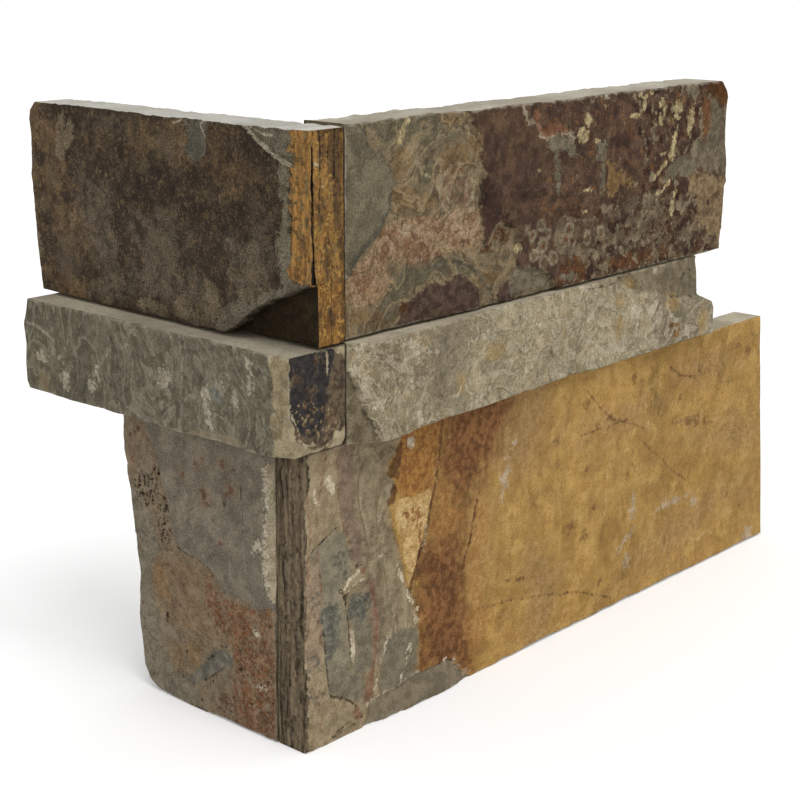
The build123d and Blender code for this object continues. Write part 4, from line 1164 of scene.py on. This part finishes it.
purple_marks = {
    "torn": [torn],
    "pink": [
        patch((18, 238), (26, 248), (34, 252), (50, 252), (66, 250), (80, 252), (93, 250), (98, 242),
              (100, 234), (90, 230), (70, 231), (50, 230), (36, 232), (28, 238)),
        patch((2, 228), (10, 236), (22, 238), (30, 230), (34, 222), (24, 216), (12, 214), (4, 218))
    ],
    "ochre": [
        patch((34, 284), (44, 284), (46, 276), (40, 270), (34, 274)),
        *blots((42, 262, 9, 6), (56, 258, 10, 5), (78, 276, 12, 7), (92, 283, 4, 6), (76, 296, 8, 4),
               (46, 248, 3, 2), (12, 212, 8, 6), (24, 206, 4, 4), (104, 214, 9, 4))
    ],
    "olive": [
        patch((20, 300), (60, 300), (84, 300), (84, 288), (70, 284), (50, 286), (36, 288), (28, 284),
              (20, 290)),
        patch((40, 228), (60, 228), (80, 224), (92, 220), (84, 222), (66, 220), (52, 216), (40, 213),
              (34, 206), (26, 210), (30, 222)), blot(58, 272, 7, 6)
    ],
    "smooth": [smooth_leaf],
    # A painted shadow along the smooth leaf's edge, with a greyer band along its lower edge.
    "leaf_edge_grey_and_shadow": [
        streak(3.0, (31, 262), (29, 256), (22, 248), (12, 240), (2, 231)),
        streak(1.2, (14, 299), (16, 290)), streak(1.2, (25, 286), (29, 279), (33, 273), (32, 264))
    ],
    "swirl_red": [
        ring(80, 261, 5, 2.4), ring(80, 261, 10, 1.8), *blots((74, 267, 5, 2.5, 20), (86, 256, 3, 5))
    ],
    "swirl_pale": [
        ring(80, 261, 7.6, 1.4), ring(80, 261, 12.5, 1.6),
        *blots((68, 264, 3, 5, 30), (80, 251, 8, 1.6), (88, 250, 5, 1.2), (44, 247, 4, 1.6)),
        streak(1.0, (50, 277), (56, 272), (60, 270))
    ],
    "pink_red": [*blots(
        (46, 238, 5, 5), (30, 245, 5, 4), (56, 234, 5, 3), (92, 244, 5, 2), (16, 224, 7, 3),
        (70, 242, 6, 2), (84, 236, 6, 2.4), (36, 246, 4, 2), (28, 236, 3, 3)
    )],
    "lens": [lens, small_lens],
    "rust": [
        *blots((132, 208, 6, 3), (42, 209, 2, 2), (116, 235, 4, 3), (104, 229, 4, 1.4)),
        patch((162, 203), (164, 212), (172, 216), (182, 212), (190, 206), (184, 202)),
        patch((205, 203), (208, 210), (232, 212), (262, 210), (258, 203))
    ],
    "arc": [streak(1.6, (60, 226), (74, 227), (85, 225), (96, 219), (102, 212), (106, 208))],
    "crackle": [
        streak(2.6, (128, 303), (131, 295), (135, 291), (141, 288), (145, 282), (150, 281), (157, 283),
               (167, 282), (171, 279)), streak(1.2, (186, 296), (192, 299), (200, 297))
    ],
    "crackle_red": [
        patch((140, 292), (146, 285), (154, 287), (164, 286), (168, 283), (158, 283), (148, 281), (141, 286)),
        blot(140, 293, 3, 3)
    ],
    "grey_green": [
        patch((152, 282), (170, 280), (172, 268), (164, 274), (156, 272), (150, 276)),
        *blots((157, 264, 3, 7), (158, 255, 2, 3), (196, 269, 4, 6, 30), (198, 256, 2, 8), (193, 266, 3, 2)),
        patch((262, 256), (270, 260), (280, 258), (284, 252), (278, 248), (270, 250), (264, 248), (258, 252)),
        patch((270, 300), (286, 300), (284, 292), (276, 294)), *blots((288, 262, 7, 6), (282, 252, 8, 5)),
        patch((126, 216), (140, 215), (150, 210), (152, 203), (126, 203), (122, 208)), blot(170, 206, 6, 3)
    ],
    "rosette": blots(*rosettes),
    "rosette_edge": [ring(u, z, r * 0.72, 1.0) for u, z, r in rosettes],
    "rosette_eye": [blot(u, z, 1.0) for u, z, r in rosettes],
    "maroon": [
        patch((98, 262), (106, 262), (112, 250), (120, 244), (112, 243), (106, 239), (102, 232), (99, 240),
              (99, 250)),
        *blots((284, 228, 8, 7), (274, 243, 6, 3), (262, 255, 4, 2.5), (268, 278, 4, 8), (288, 284, 4, 6),
               (235, 224, 4, 4), (170, 240, 10, 3), (212, 274, 9, 5))
    ],
    "low_right": [
        patch((196, 236), (230, 242), (258, 240), (276, 236), (300, 222), (318, 214), (318, 200), (196, 200)),
        patch((160, 238), (176, 236), (196, 230), (200, 202), (178, 203), (182, 214), (164, 218), (156, 226))
    ],
    "cream": [
        *blots((184, 287, 3, 4), (180, 279, 5, 3.4), (179, 281, 4, 2), (192, 275, 1.6),
               (234, 292, 2, 4, -30), (225, 286, 4, 1.4), (232, 296, 2, 1.2), (252, 291, 3, 2.6),
               (251, 282, 2.4, 3), (255, 287, 1.4, 4), (268, 287, 4, 3), (266, 282, 3, 2),
               (279, 278, 2.4, 7), (282, 281, 2, 5), (264, 268, 2.2, 7, -14), (262, 262, 3, 4)),
        streak(2.2, (258, 258), (252, 253), (246, 250)), streak(2.0, (262, 247), (256, 243), (250, 241)),
        *blots((267, 232, 2, 4), (268, 238, 1.6, 3), (127, 227, 2.4, 2.6), (184, 251, 2, 0.7),
               (182, 240, 2, 1), (240, 298, 1.4), (246, 286, 1.6, 0.8)),
        streak(2.8, (46, 301), (43, 296), (40, 291), (38, 288)),
        *blots((290, 285, 1.2), (199, 293, 1), (142, 265, 1), (254, 263, 2, 0.7))
    ],
    "sheet_mix": [patch(
        (150, 320), (148, 290), (146, 262), (140, 244), (150, 232), (160, 214), (170, 190), (340, 190),
        (340, 320)
    )],
    "far_mix": [patch(
        (228, 320), (226, 286), (236, 262), (220, 246), (196, 240), (190, 226), (196, 190), (340, 190),
        (340, 320)
    )],
    "gold": [
        patch((200, 264), (206, 262), (212, 258), (224, 252), (226, 248), (216, 250), (208, 246),
              (202, 252), (203, 258)),
        *blots((270, 290, 5, 2), (262, 280, 3, 2), (205, 247, 4, 2), (213, 255, 4, 3))
    ],
    "orange": [patch((293, 289), (300, 288), (303, 282), (300, 270), (294, 272)), blot(297, 276, 3, 7)],
    "far_rust": [patch((298, 304), (322, 304), (321, 288), (316, 284), (308, 289), (300, 292))],
    "far_grey": [patch(
        (300, 290), (308, 288), (314, 283), (322, 288), (330, 260), (330, 240), (318, 244), (300, 248),
        (288, 252), (292, 262), (298, 270)
    )],
    "far_tan": [patch(
        (282, 247), (296, 248), (320, 243), (326, 238), (326, 210), (318, 206), (306, 212), (292, 222),
        (292, 234), (284, 238)
    )],
    "far_dark": blots(
        (309, 246, 2.4), (311, 234, 2), (310, 208, 2), (300, 214, 2), (303, 230, 1.6), (316, 250, 1.4),
        (292, 214, 2.2), (286, 210, 1.6), (296, 220, 1.4), (291, 248, 1.6)
    ),
}
ragged_far = through((200, 318), (203, 318.4), (210, 319), (225, 320), (238, 320.2), (240.5, 322),
                     (250, 322), (255, 321.4), (263, 319.4), (270, 319), (280, 319.4), (290, 319.6),
                     (294, 317.6), (298, 314), (300.5, 310.4))


def top_long_depth(u, z):
    """Three levels: the smooth leaf, the torn hollow with its lenses of the sheet above, and the sheet."""
    thick = 25.9 - 0.35 * (1 + drift(u, z, 60, 75, 3))
    hollow = rise(-0.6, 0.8, torn(u, z)) * (1 - rise(-0.5, 0.4, smooth_leaf(u, z)))
    lenses = leaf_step(0.8, u, z, lens, small_lens, slope=(-0.6, 0.4))
    thick = thick - hollow * (1.5 + 0.5 * drift(u, z, 20, 76, 5)) + lenses
    thick = thick - leaf_step(0.6, u, z, *purple_marks["arc"], slope=(-0.3, 0.5)) * hollow
    thick = thick + leaf_step(0.4, u, z, *purple_marks["rosette"], slope=(-0.5, 0.8))
    worn_away = purple_marks["low_right"] + purple_marks["far_grey"]
    return thick - leaf_step(0.5, u, z, *worn_away, slope=(-1.0, 1.0))


top_foot, top_head = levels("top_long_stone")
top_long = slab(
    "top_long_slate", "long", (318, top_head - top_foot, 26.2),
    near=rippled(butt_joint), far=rippled(ragged_far, (0.4, 9, 70)),
    foot=rippled(top_foot + 0.1, (0.3, 30, 71), least=top_foot),
    head=rippled(top_head - 0.9, (0.3, 30, 72), (0.4, 7, 78)),
    depth=top_long_depth, marks=purple_marks, ragged=1.2, arris=0.6, seed=73, pitch=0.78)
finish = Finish("purple_slate_stone", (66, 48, 36), (88, 67, 51), 6.0, 80)
finish.blotch(30, 0.06, (76, 56, 40), (94, 72, 52), soft=5.0, strength=0.7)
finish.blotch(7, 0.06, (52, 37, 29), (68, 50, 40), soft=1.0, squash=(0.6, 1.0, 0.7), strength=0.7)
finish.blotch(5, 0.1, (70, 46, 28), (88, 62, 38), on="sheet_mix", squash=(1.0, 1.0, 0.5), strength=0.6)
finish.blotch(2.4, 0.13, (98, 64, 34), (122, 86, 50), on="sheet_mix", squash=(1.0, 1.0, 0.6), soft=0.4,
              size=2.0, strength=0.8)
finish.blotch(3, 0.15, (94, 82, 64), (120, 106, 84), on="sheet_mix", soft=0.4, size=2.5, strength=0.6)
finish.stain("torn", (95, 83, 62), (124, 108, 83), soft=0.4, ragged=1.8, size=5.0, mottle=5.0)
finish.stain("olive", (88, 80, 61), (107, 97, 76), soft=1.5, ragged=2.0)
finish.stain("ochre", (96, 76, 48), (120, 97, 65), soft=1.6, ragged=2.6, strength=0.8)
finish.stain("pink", (118, 94, 69), (148, 124, 96), soft=1.2, ragged=2.4, mottle=3.0)
finish.blotch(4, 0.1, (98, 72, 52), (116, 88, 66), on="pink", ragged=1.4, strength=0.6)
finish.stain("pink_red", (96, 64, 42), (124, 90, 64), soft=1.2, ragged=3.2, size=3.0, mottle=2.5,
             strength=0.6)
finish.stain("swirl_pale", (138, 122, 98), (162, 146, 120), soft=0.7, ragged=1.6, strength=0.7)
finish.stain("swirl_red", (104, 76, 56), (132, 102, 78), soft=0.7, ragged=1.6, strength=0.6)
finish.flakes("torn", 34.0, 6.0, (70, 56, 40), (150, 130, 98), depth=0.8, strength=0.5)
finish.flakes("pink", 18.0, 5.0, (96, 64, 44), (166, 144, 114), depth=0.4, strength=0.45)
finish.stain("arc", (80, 75, 60), (102, 96, 79), soft=0.7)
finish.stain("smooth", (98, 89, 70), (116, 106, 85), soft=0.35, ragged=0.7, mottle=12.0)
# Painted shadow along the smooth leaf's edge, and its greyer band.
finish.stain("leaf_edge_grey_and_shadow", (60, 59, 50), (84, 80, 67), soft=0.8, ragged=1.4, strength=0.8)
finish.stain("lens", (60, 45, 37), (86, 68, 55), soft=0.5, ragged=1.2, mottle=4.0)
finish.stain("maroon", (44, 29, 22), (68, 46, 35), soft=1.2, ragged=2.8, size=3.0, mottle=4.0, strength=0.9)
finish.stain("low_right", (62, 48, 36), (98, 80, 60), soft=2.0, ragged=3.0, mottle=4.0, strength=0.85)
finish.blotch(10, 0.05, (92, 80, 62), (118, 104, 82), on="low_right", squash=(0.6, 1.0, 1.3), soft=0.4,
              ragged=0.7, size=3.0, strength=0.9)
finish.stain("rust", (68, 41, 19), (94, 60, 28), soft=1.0, ragged=4.0, mottle=3.0, strength=0.9)
finish.blotch(7, 0.05, (42, 24, 14), (66, 41, 25), on="far_mix", soft=0.4, ragged=0.8, size=2.5,
              strength=0.95)
finish.blotch(8, 0.07, (102, 91, 70), (132, 119, 95), on="far_mix", soft=0.4, ragged=0.8, size=2.5,
              strength=0.9)
finish.stain("grey_green", (96, 88, 70), (120, 110, 90), soft=0.7, ragged=2.4, size=3.0, strength=0.9)
finish.stain("rosette", (88, 74, 56), (112, 98, 76), soft=0.5, ragged=1.2, strength=0.9)
finish.stain("rosette_edge", (118, 106, 86), (142, 130, 108), soft=0.4, ragged=1.3, size=2.5, strength=0.7)
finish.stain("rosette_eye", (76, 46, 28), (104, 68, 42), soft=0.5)
finish.stain("far_grey", (88, 77, 60), (112, 101, 80), soft=1.2, ragged=2.4, size=3.0, mottle=3.0)
finish.stain("far_tan", (103, 84, 59), (136, 115, 84), soft=1.4, ragged=2.8, mottle=3.0)
finish.stain("far_rust", (68, 41, 12), (92, 57, 20), soft=1.2, ragged=2.4, size=3.0)
finish.stain("far_dark", (50, 35, 23), (72, 52, 35), soft=0.8, ragged=2.4, size=3.0, strength=0.85)
finish.stain("orange", (98, 62, 34), (126, 86, 50), soft=1.2, ragged=2.2, size=3.0, strength=0.8)
finish.stain("gold", (116, 90, 50), (146, 118, 70), soft=1.0, ragged=3.0, size=3.0, mottle=3.0,
             strength=0.55)
finish.stain("crackle", (126, 114, 92), (154, 142, 118), soft=0.5, ragged=1.8, size=3.0, strength=0.85)
finish.stain("crackle_red", (104, 66, 44), (130, 90, 64), ragged=1.6, size=3.0, strength=0.8)
finish.stain("cream", (138, 122, 86), (184, 168, 126), soft=0.4, ragged=1.3, size=2.6, mottle=3.0,
             strength=0.9)
finish.grain(0.85, 0.7, broad=0.12, step_size=30.0, steps=6.0, step_depth=0.25, edge=0.14)
finish.ends((96, 84, 62), (138, 126, 100), layer=3.0, contrast=0.7)
finish.dust((160, 152, 135), (186, 179, 163), rim=0.5, strength=0.4)
split(top_long, finish.done(), leaf_depth=1.1, leaf_size=36, leaves=7, grain_depth=0.6, grain_size=5,
      end_depth=0.9, seed=14)
fit(top_long, "top_long_stone")

# Top course, short leg: a dark umber slab that laps over the top long stone and shows a rusty gold end.
# Its front leaf has cracked free along that end and has broken off at the foot, beside the corner.
broken_foot = patch((34, 188), (31, 197), (25, 203), (18, 207), (8, 214), (-5, 221), (-16, 226),
                    (-24, 229.5), (-44, 234), (-44, 188))
corner_spall = patch((13, 310), (11, 298), (5, 294), (-5, 289), (-13, 285), (-22, 281), (-44, 276),
                     (-44, 310))
inner_spall = patch((9, 310), (6, 297), (-2, 295), (-14, 294), (-30, 291), (-44, 290), (-44, 310))


def beside(shape, outer, inner):
    """A band along the edge of a patch, from outer mm outside it to inner mm inside."""
    return lambda u, z: np.minimum(shape(u, z) + outer, inner - shape(u, z))


umber_marks = {
    # A greyer band across the lower middle of the face: a painted sheen.
    "grey_sheen": [patch(
        (150, 252), (120, 262), (90, 256), (60, 252), (30, 256), (0, 262), (-12, 246), (-4, 224), (30, 204),
        (90, 202), (140, 206)
    )],
    "brown": [
        patch((180, 202), (180, 300), (160, 300), (150, 272), (144, 256), (134, 240), (130, 218), (140, 200)),
        *blots((60, 286, 40, 10), (20, 272, 22, 8))
    ],
    "tan": [
        patch((153, 270), (154, 280), (150, 292), (146, 294), (146, 286), (142, 291), (139, 289),
              (140, 281), (146, 276)),
        patch((38, 206), (41, 212), (40, 222), (35, 224), (31, 218), (32, 208)),
        *blots((12, 221, 6, 3.5, 20), (58, 210, 6, 6), (82, 206, 8, 3), (174, 226, 3, 5))
    ],
    "faint_tan": [
        patch((72, 292), (72, 281), (62, 279), (60, 290)),
        *blots((165, 247, 6, 3), (160, 262, 3, 5), (110, 292, 14, 4), (98, 228, 3, 2), (84, 272, 3),
               (148, 220, 10, 12), (72, 234, 12, 8))
    ],
    "green_chip": [patch(
        (52, 299), (51, 288), (53, 283), (44, 280), (38, 284), (38, 290), (36, 296), (42, 298), (48, 296)
    )],
    "corner_spall": [corner_spall],
    "spall_line": [
        streak(1.5, (12, 299), (5, 294), (-4, 289.5), (-12, 285), (-20, 282)),
        streak(0.9, (8, 298), (2, 296), (-6, 295)), streak(0.8, (56, 299), (54, 297), (60, 296)),
        streak(0.8, (38, 298), (41, 296), (38, 290))
    ],
    "fracture": [
        beside(broken_foot, 4.5, 0.5),
        patch((30, 200), (20, 208), (10, 214), (12, 221), (24, 216), (34, 206))
    ],
    "arris_chip": [patch(
        (-11, 291), (-13, 284), (-11, 276), (-14, 266), (-12, 256), (-9, 248), (-10, 240), (-12, 232),
        (-11, 222), (-18, 222), (-18.5, 250), (-17.5, 275), (-17, 291)
    )],
    "arris_pale": [
        patch((-10, 249), (-11, 240), (-13, 230), (-19, 230), (-18.4, 250)),
        *blots((-14, 280, 2, 4), (-15, 262, 1.6, 5))
    ],
    "gold_edge": [patch(
        (-17.6, 320), (-17.2, 298), (-18, 284), (-17.4, 270), (-18.4, 256), (-18, 242), (-18.6, 232),
        (-44, 238), (-44, 320)
    )],
    # The recess where the leaf's foot is gone, painted dark as its shadow.
    "recess_shadow": [broken_foot],
}
umber_end = {
    "gold": [patch((-6, 190), (-6, 310), (34, 310), (34, 190))],
    "end_dark": [
        patch((0.8, 302), (9.5, 302), (9, 286), (7, 274), (6, 262), (4, 252), (1.6, 246), (0.8, 262)),
        *blots((12.5, 290, 2, 8), (0, 246, 2.6, 14), (0, 220, 2.0, 16), (17, 212, 2, 6), (10, 240, 2, 8),
               (14, 262, 2, 6), (8, 214, 3, 5))
    ],
    "end_pale": [
        *blots((15.4, 283, 0.9, 0.4), (13, 273, 0.6, 0.5)), streak(1.2, (20, 229), (17, 222)),
        blot(23, 226, 2, 4)
    ],
    # The slit and the fine cracks in the end: their dark, and painted shade inside them.
    "end_slit_shade": [
        streak(1.7, (19.3, 301), (19.2, 280), (19.4, 260), (19.1, 244), (18.6, 230)),
        patch((19, 245), (20.2, 238), (20.4, 229), (17, 229), (17.8, 238)),
        streak(0.7, (14.6, 300), (14.4, 284), (14.8, 262)), streak(0.8, (5, 300), (5.4, 290), (5, 276)),
        streak(0.5, (9, 299), (9, 286), (9.4, 272)), streak(0.5, (8, 232), (8.4, 214), (8, 203))
    ],
}
crack_line = through((200, 18.0), (228, 18.6), (245, 19.2), (300, 19.3))
umber_far = through((200, 172.6), (206, 173.6), (230, 175.6), (262, 177), (272, 176.4), (281, 175.6),
                    (289, 177.2), (294, 176), (298.6, 171))


def top_short_depth(u, z):
    """Thicker at the lap, where the leaf's foot is gone down to the crack and its corner is spalled."""
    thick = through((-27, 27.2), (176, 22.0))(u) - 0.25 * (1 + drift(u, z, 60, 95, 3))
    gone = rise(-0.4, 0.5, broken_foot(u, z))
    thick = thick - leaf_step(1.1, u, z, corner_spall) - leaf_step(0.6, u, z, inner_spall)
    thick = thick - leaf_step(0.6, u, z, *umber_marks["green_chip"])
    thick = thick - np.clip((-17 - u + 0.8 * drift(z, 0 * z, 12, 96)) / 9, 0, 1) * 4.6
    inner_leaf = crack_line(z) - 0.6 + 0.5 * drift(u, z, 9, 97)
    return np.where(gone > 0, thick * (1 - gone) + inner_leaf * gone, thick)


umber_foot, umber_head = levels("top_short_stone")
top_short = slab(
    "top_short_slate", "short", (202, umber_head - umber_foot, 27),
    near=rippled(-25.9, (0.2, 20, 90)), far=rippled(umber_far, (0.3, 9, 91)),
    foot=rippled(umber_foot + 0.3, (0.5, 30, 92), least=umber_foot),
    head=rippled(umber_head - 0.4, (0.3, 24, 93), (0.4, 6, 98)),
    depth=top_short_depth, marks=umber_marks, end_marks=umber_end, ragged=0.6, arris=0.45, seed=94,
    pitch=0.66, crack=crack_line)
finish = Finish("umber_slate_stone", (49, 39, 28), (69, 56, 42), 6.0, 110)
# Painted sheen across the lower middle of the face.
finish.stain("grey_sheen", (85, 75, 61), (109, 96, 79), soft=9.0, ragged=8.0, size=14.0, mottle=9.0,
             strength=0.8)
finish.stain("brown", (92, 73, 50), (120, 97, 69), soft=8.0, ragged=7.0, size=12.0, mottle=9.0,
             strength=0.75)
finish.blotch(18, 0.03, (40, 31, 22), (54, 43, 31), soft=3.0, strength=0.8)
finish.blotch(2.2, 0.05, (34, 28, 21), (48, 40, 31), soft=0.7, strength=0.6)
finish.blotch(1.6, 0.14, (108, 88, 60), (134, 112, 82), soft=0.4, size=2.0, strength=0.45)
finish.blotch(5, 0.13, (98, 80, 52), (112, 92, 60), soft=1.0, strength=0.5)
finish.stain("faint_tan", (84, 73, 57), (100, 88, 70), soft=3.0, ragged=4.0, strength=0.6)
finish.stain("tan", (98, 86, 66), (118, 104, 82), soft=1.2, ragged=2.2, size=3.0, strength=0.85)
finish.stain("green_chip", (80, 78, 66), (100, 96, 82), soft=0.9, ragged=1.6, size=3.0, strength=0.85)
finish.stain("arris_chip", (86, 78, 60), (108, 98, 78), soft=0.8, ragged=2.4, size=3.0)
finish.stain("arris_pale", (104, 98, 80), (122, 114, 96), soft=0.8, ragged=1.8, strength=0.8)
finish.stain("corner_spall", (86, 79, 64), (108, 100, 83), soft=0.5)
finish.stain("fracture", (90, 82, 67), (112, 103, 86), soft=0.8, ragged=1.4, size=3.0, strength=0.8)
finish.stain("spall_line", (134, 125, 103), (156, 147, 126), soft=0.35, ragged=0.5, size=2.5)
# Painted shadow: the recess where the leaf's foot is gone is painted near black-brown.
finish.stain("recess_shadow", (34, 25, 10), (49, 37, 19), soft=0.4, ragged=0.4)
finish.grain(0.75, 1.2, broad=0.06, tone=0.02, step_size=24.0, steps=5.0, depth=0.9, edge=0.1)
finish.ends((56, 47, 36), (102, 88, 67), layer=2.6, contrast=0.8)
finish.ends((88, 58, 26), (156, 114, 60), layer=2.6, contrast=0.9, on="gold")
finish.ends((94, 65, 33), (164, 123, 68), layer=2.6, contrast=1.0, on="gold_edge")
finish.blotch(3, 0.06, (92, 80, 52), (118, 104, 72), on="gold_edge", squash=(1.0, 1.0, 0.3), soft=0.4,
              size=2.0, strength=0.7)
finish.blotch(2, 0.08, (58, 44, 26), (80, 60, 36), on="gold_edge", squash=(1.0, 1.0, 0.4), soft=0.4,
              size=2.0, strength=0.7)
finish.blotch(1.6, 0.06, (50, 36, 22), (76, 56, 34), on="gold", squash=(1.0, 1.0, 0.5), soft=0.4, size=2.0,
              strength=0.7)
finish.blotch(2.0, 0.07, (156, 118, 56), (180, 142, 76), on="gold", soft=0.4, size=2.0, strength=0.7)
finish.stain("end_dark", (52, 38, 25), (84, 64, 42), soft=2.0, ragged=2.5, size=3.0, mottle=2.5,
             strength=0.85)
finish.stain("end_pale", (150, 138, 112), (172, 160, 134), soft=0.5)
# Painted shade inside the slit and the fine cracks of the end, over their own dark.
finish.stain("end_slit_shade", (16, 12, 8), (28, 20, 14), soft=0.4, ragged=0.3)
finish.dust((188, 184, 173), (208, 205, 196), rim=0.3, strength=0.0)
split(top_short, finish.done(), leaf_depth=0.4, leaf_size=50, leaves=5, grain_depth=0.45, grain_size=4,
      end_depth=0.9, seed=17)
fit(top_short, "top_short_stone")

# Between the stones: thin beds of dark grey adhesive in the level joints and bonds of it in the upright
# ones, set back from the faces. These are the solids themselves, with a trowelled, sandy finish.
mortar = bpy.data.materials.new("grey_adhesive")
mortar.use_nodes = True
sand = noise(mortar.node_tree, on_piece(mortar.node_tree, 3.0), 1.4, 4.0, 0.7)
tone = mix(mortar.node_tree, span(mortar.node_tree, sand, 0.35, 0.65), seen(62, 58, 52), seen(96, 91, 82))
bumps = place_node(mortar.node_tree, "ShaderNodeBump", {"Height": sand, "Strength": 0.5, "Distance": MM})
paste = mortar.node_tree.nodes["Principled BSDF"]
mortar.node_tree.links.new(tone, paste.inputs["Base Color"])
mortar.node_tree.links.new(bumps.outputs[0], paste.inputs["Normal"])
paste.inputs["Roughness"].default_value = 0.95
for joint in ("lower_long_bed", "lower_short_bed", "upper_long_bed", "upper_short_bed", "bottom_corner_bond",
              "middle_corner_bond", "top_corner_bond"):
    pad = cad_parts[joint]
    pad.data.materials.clear()
    pad.data.materials.append(mortar)

# The white studio: a pale floor that the piece stands on, soft light from above and from both sides, and
# the camera where the photograph was taken, looking down a little at the corner.
floor_mesh = bpy.data.meshes.new("studio_floor")
floor_mesh.from_pydata([(-4, -4, 0), (4, -4, 0), (4, 4, 0), (-4, 4, 0)], [], [(0, 1, 2, 3)])
floor = bpy.data.objects.new("studio_floor", floor_mesh)
bpy.context.scene.collection.objects.link(floor)
floor_paint = bpy.data.materials.new("studio_floor_paint")
floor_paint.use_nodes = True
floor_nodes = floor_paint.node_tree
paint = floor_nodes.nodes["Principled BSDF"]
paint.inputs["Base Color"].default_value = (0.9, 0.9, 0.9, 1)
paint.inputs["Roughness"].default_value = 0.9
paint.inputs["Emission Color"].default_value = (1, 1, 1, 1)
rays = floor_nodes.nodes.new("ShaderNodeLightPath").outputs
floor_nodes.links.new(maths(floor_nodes, "MULTIPLY", rays["Is Camera Ray"], 0.12),
                      paint.inputs["Emission Strength"])
floor_mesh.materials.append(floor_paint)
floor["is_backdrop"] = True


def soft_light(name, towards, strength, softness):
    """Even light from far away, from the side that a vector points to, its shadows softened."""
    lamp = bpy.data.lights.new(name, "SUN")
    lamp.energy, lamp.angle = strength, math.radians(softness)
    holder = bpy.data.objects.new(name, lamp)
    holder.rotation_euler = Vector(towards).to_track_quat("Z", "Y").to_euler()
    bpy.context.scene.collection.objects.link(holder)


soft_light("light_above", towards=(-0.15, -0.5, 0.85), strength=1.55, softness=35)
soft_light("light_right", towards=(0.7, -0.9, 0.5), strength=0.3, softness=60)
soft_light("light_left", towards=(-1.0, -0.3, 0.25), strength=0.75, softness=60)
world = bpy.data.worlds.new("white_studio")
bpy.context.scene.world = world
world.use_nodes = True
sky = world.node_tree
rays = sky.nodes.new("ShaderNodeLightPath").outputs
shown = maths(sky, "MAXIMUM", maths(sky, "MAXIMUM", rays["Is Camera Ray"], rays["Is Glossy Ray"]),
              rays["Is Transmission Ray"])
background = sky.nodes["Background"]
background.inputs["Color"].default_value = (1, 1, 1, 1)
on_stone, on_camera = 0.58, 1.0
brightness = maths(sky, "MULTIPLY_ADD", shown, on_camera - on_stone, on_stone)
sky.links.new(brightness, background.inputs["Strength"])

camera = bpy.data.objects.new("camera", bpy.data.cameras.new("camera"))
camera.data.lens, camera.data.sensor_width = 75.908, 36.0
camera.location = (-0.53642, -0.54540, 0.37918)
yaw, pitch = math.radians(42.19), math.radians(15.39)
gaze = Vector((math.cos(yaw) * math.cos(pitch), math.sin(yaw) * math.cos(pitch), -math.sin(pitch)))
camera.rotation_euler = gaze.to_track_quat("-Z", "Y").to_euler()
bpy.context.scene.collection.objects.link(camera)
bpy.context.scene.camera = camera
bpy.context.scene.view_settings.view_transform = "Standard"

low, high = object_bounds()
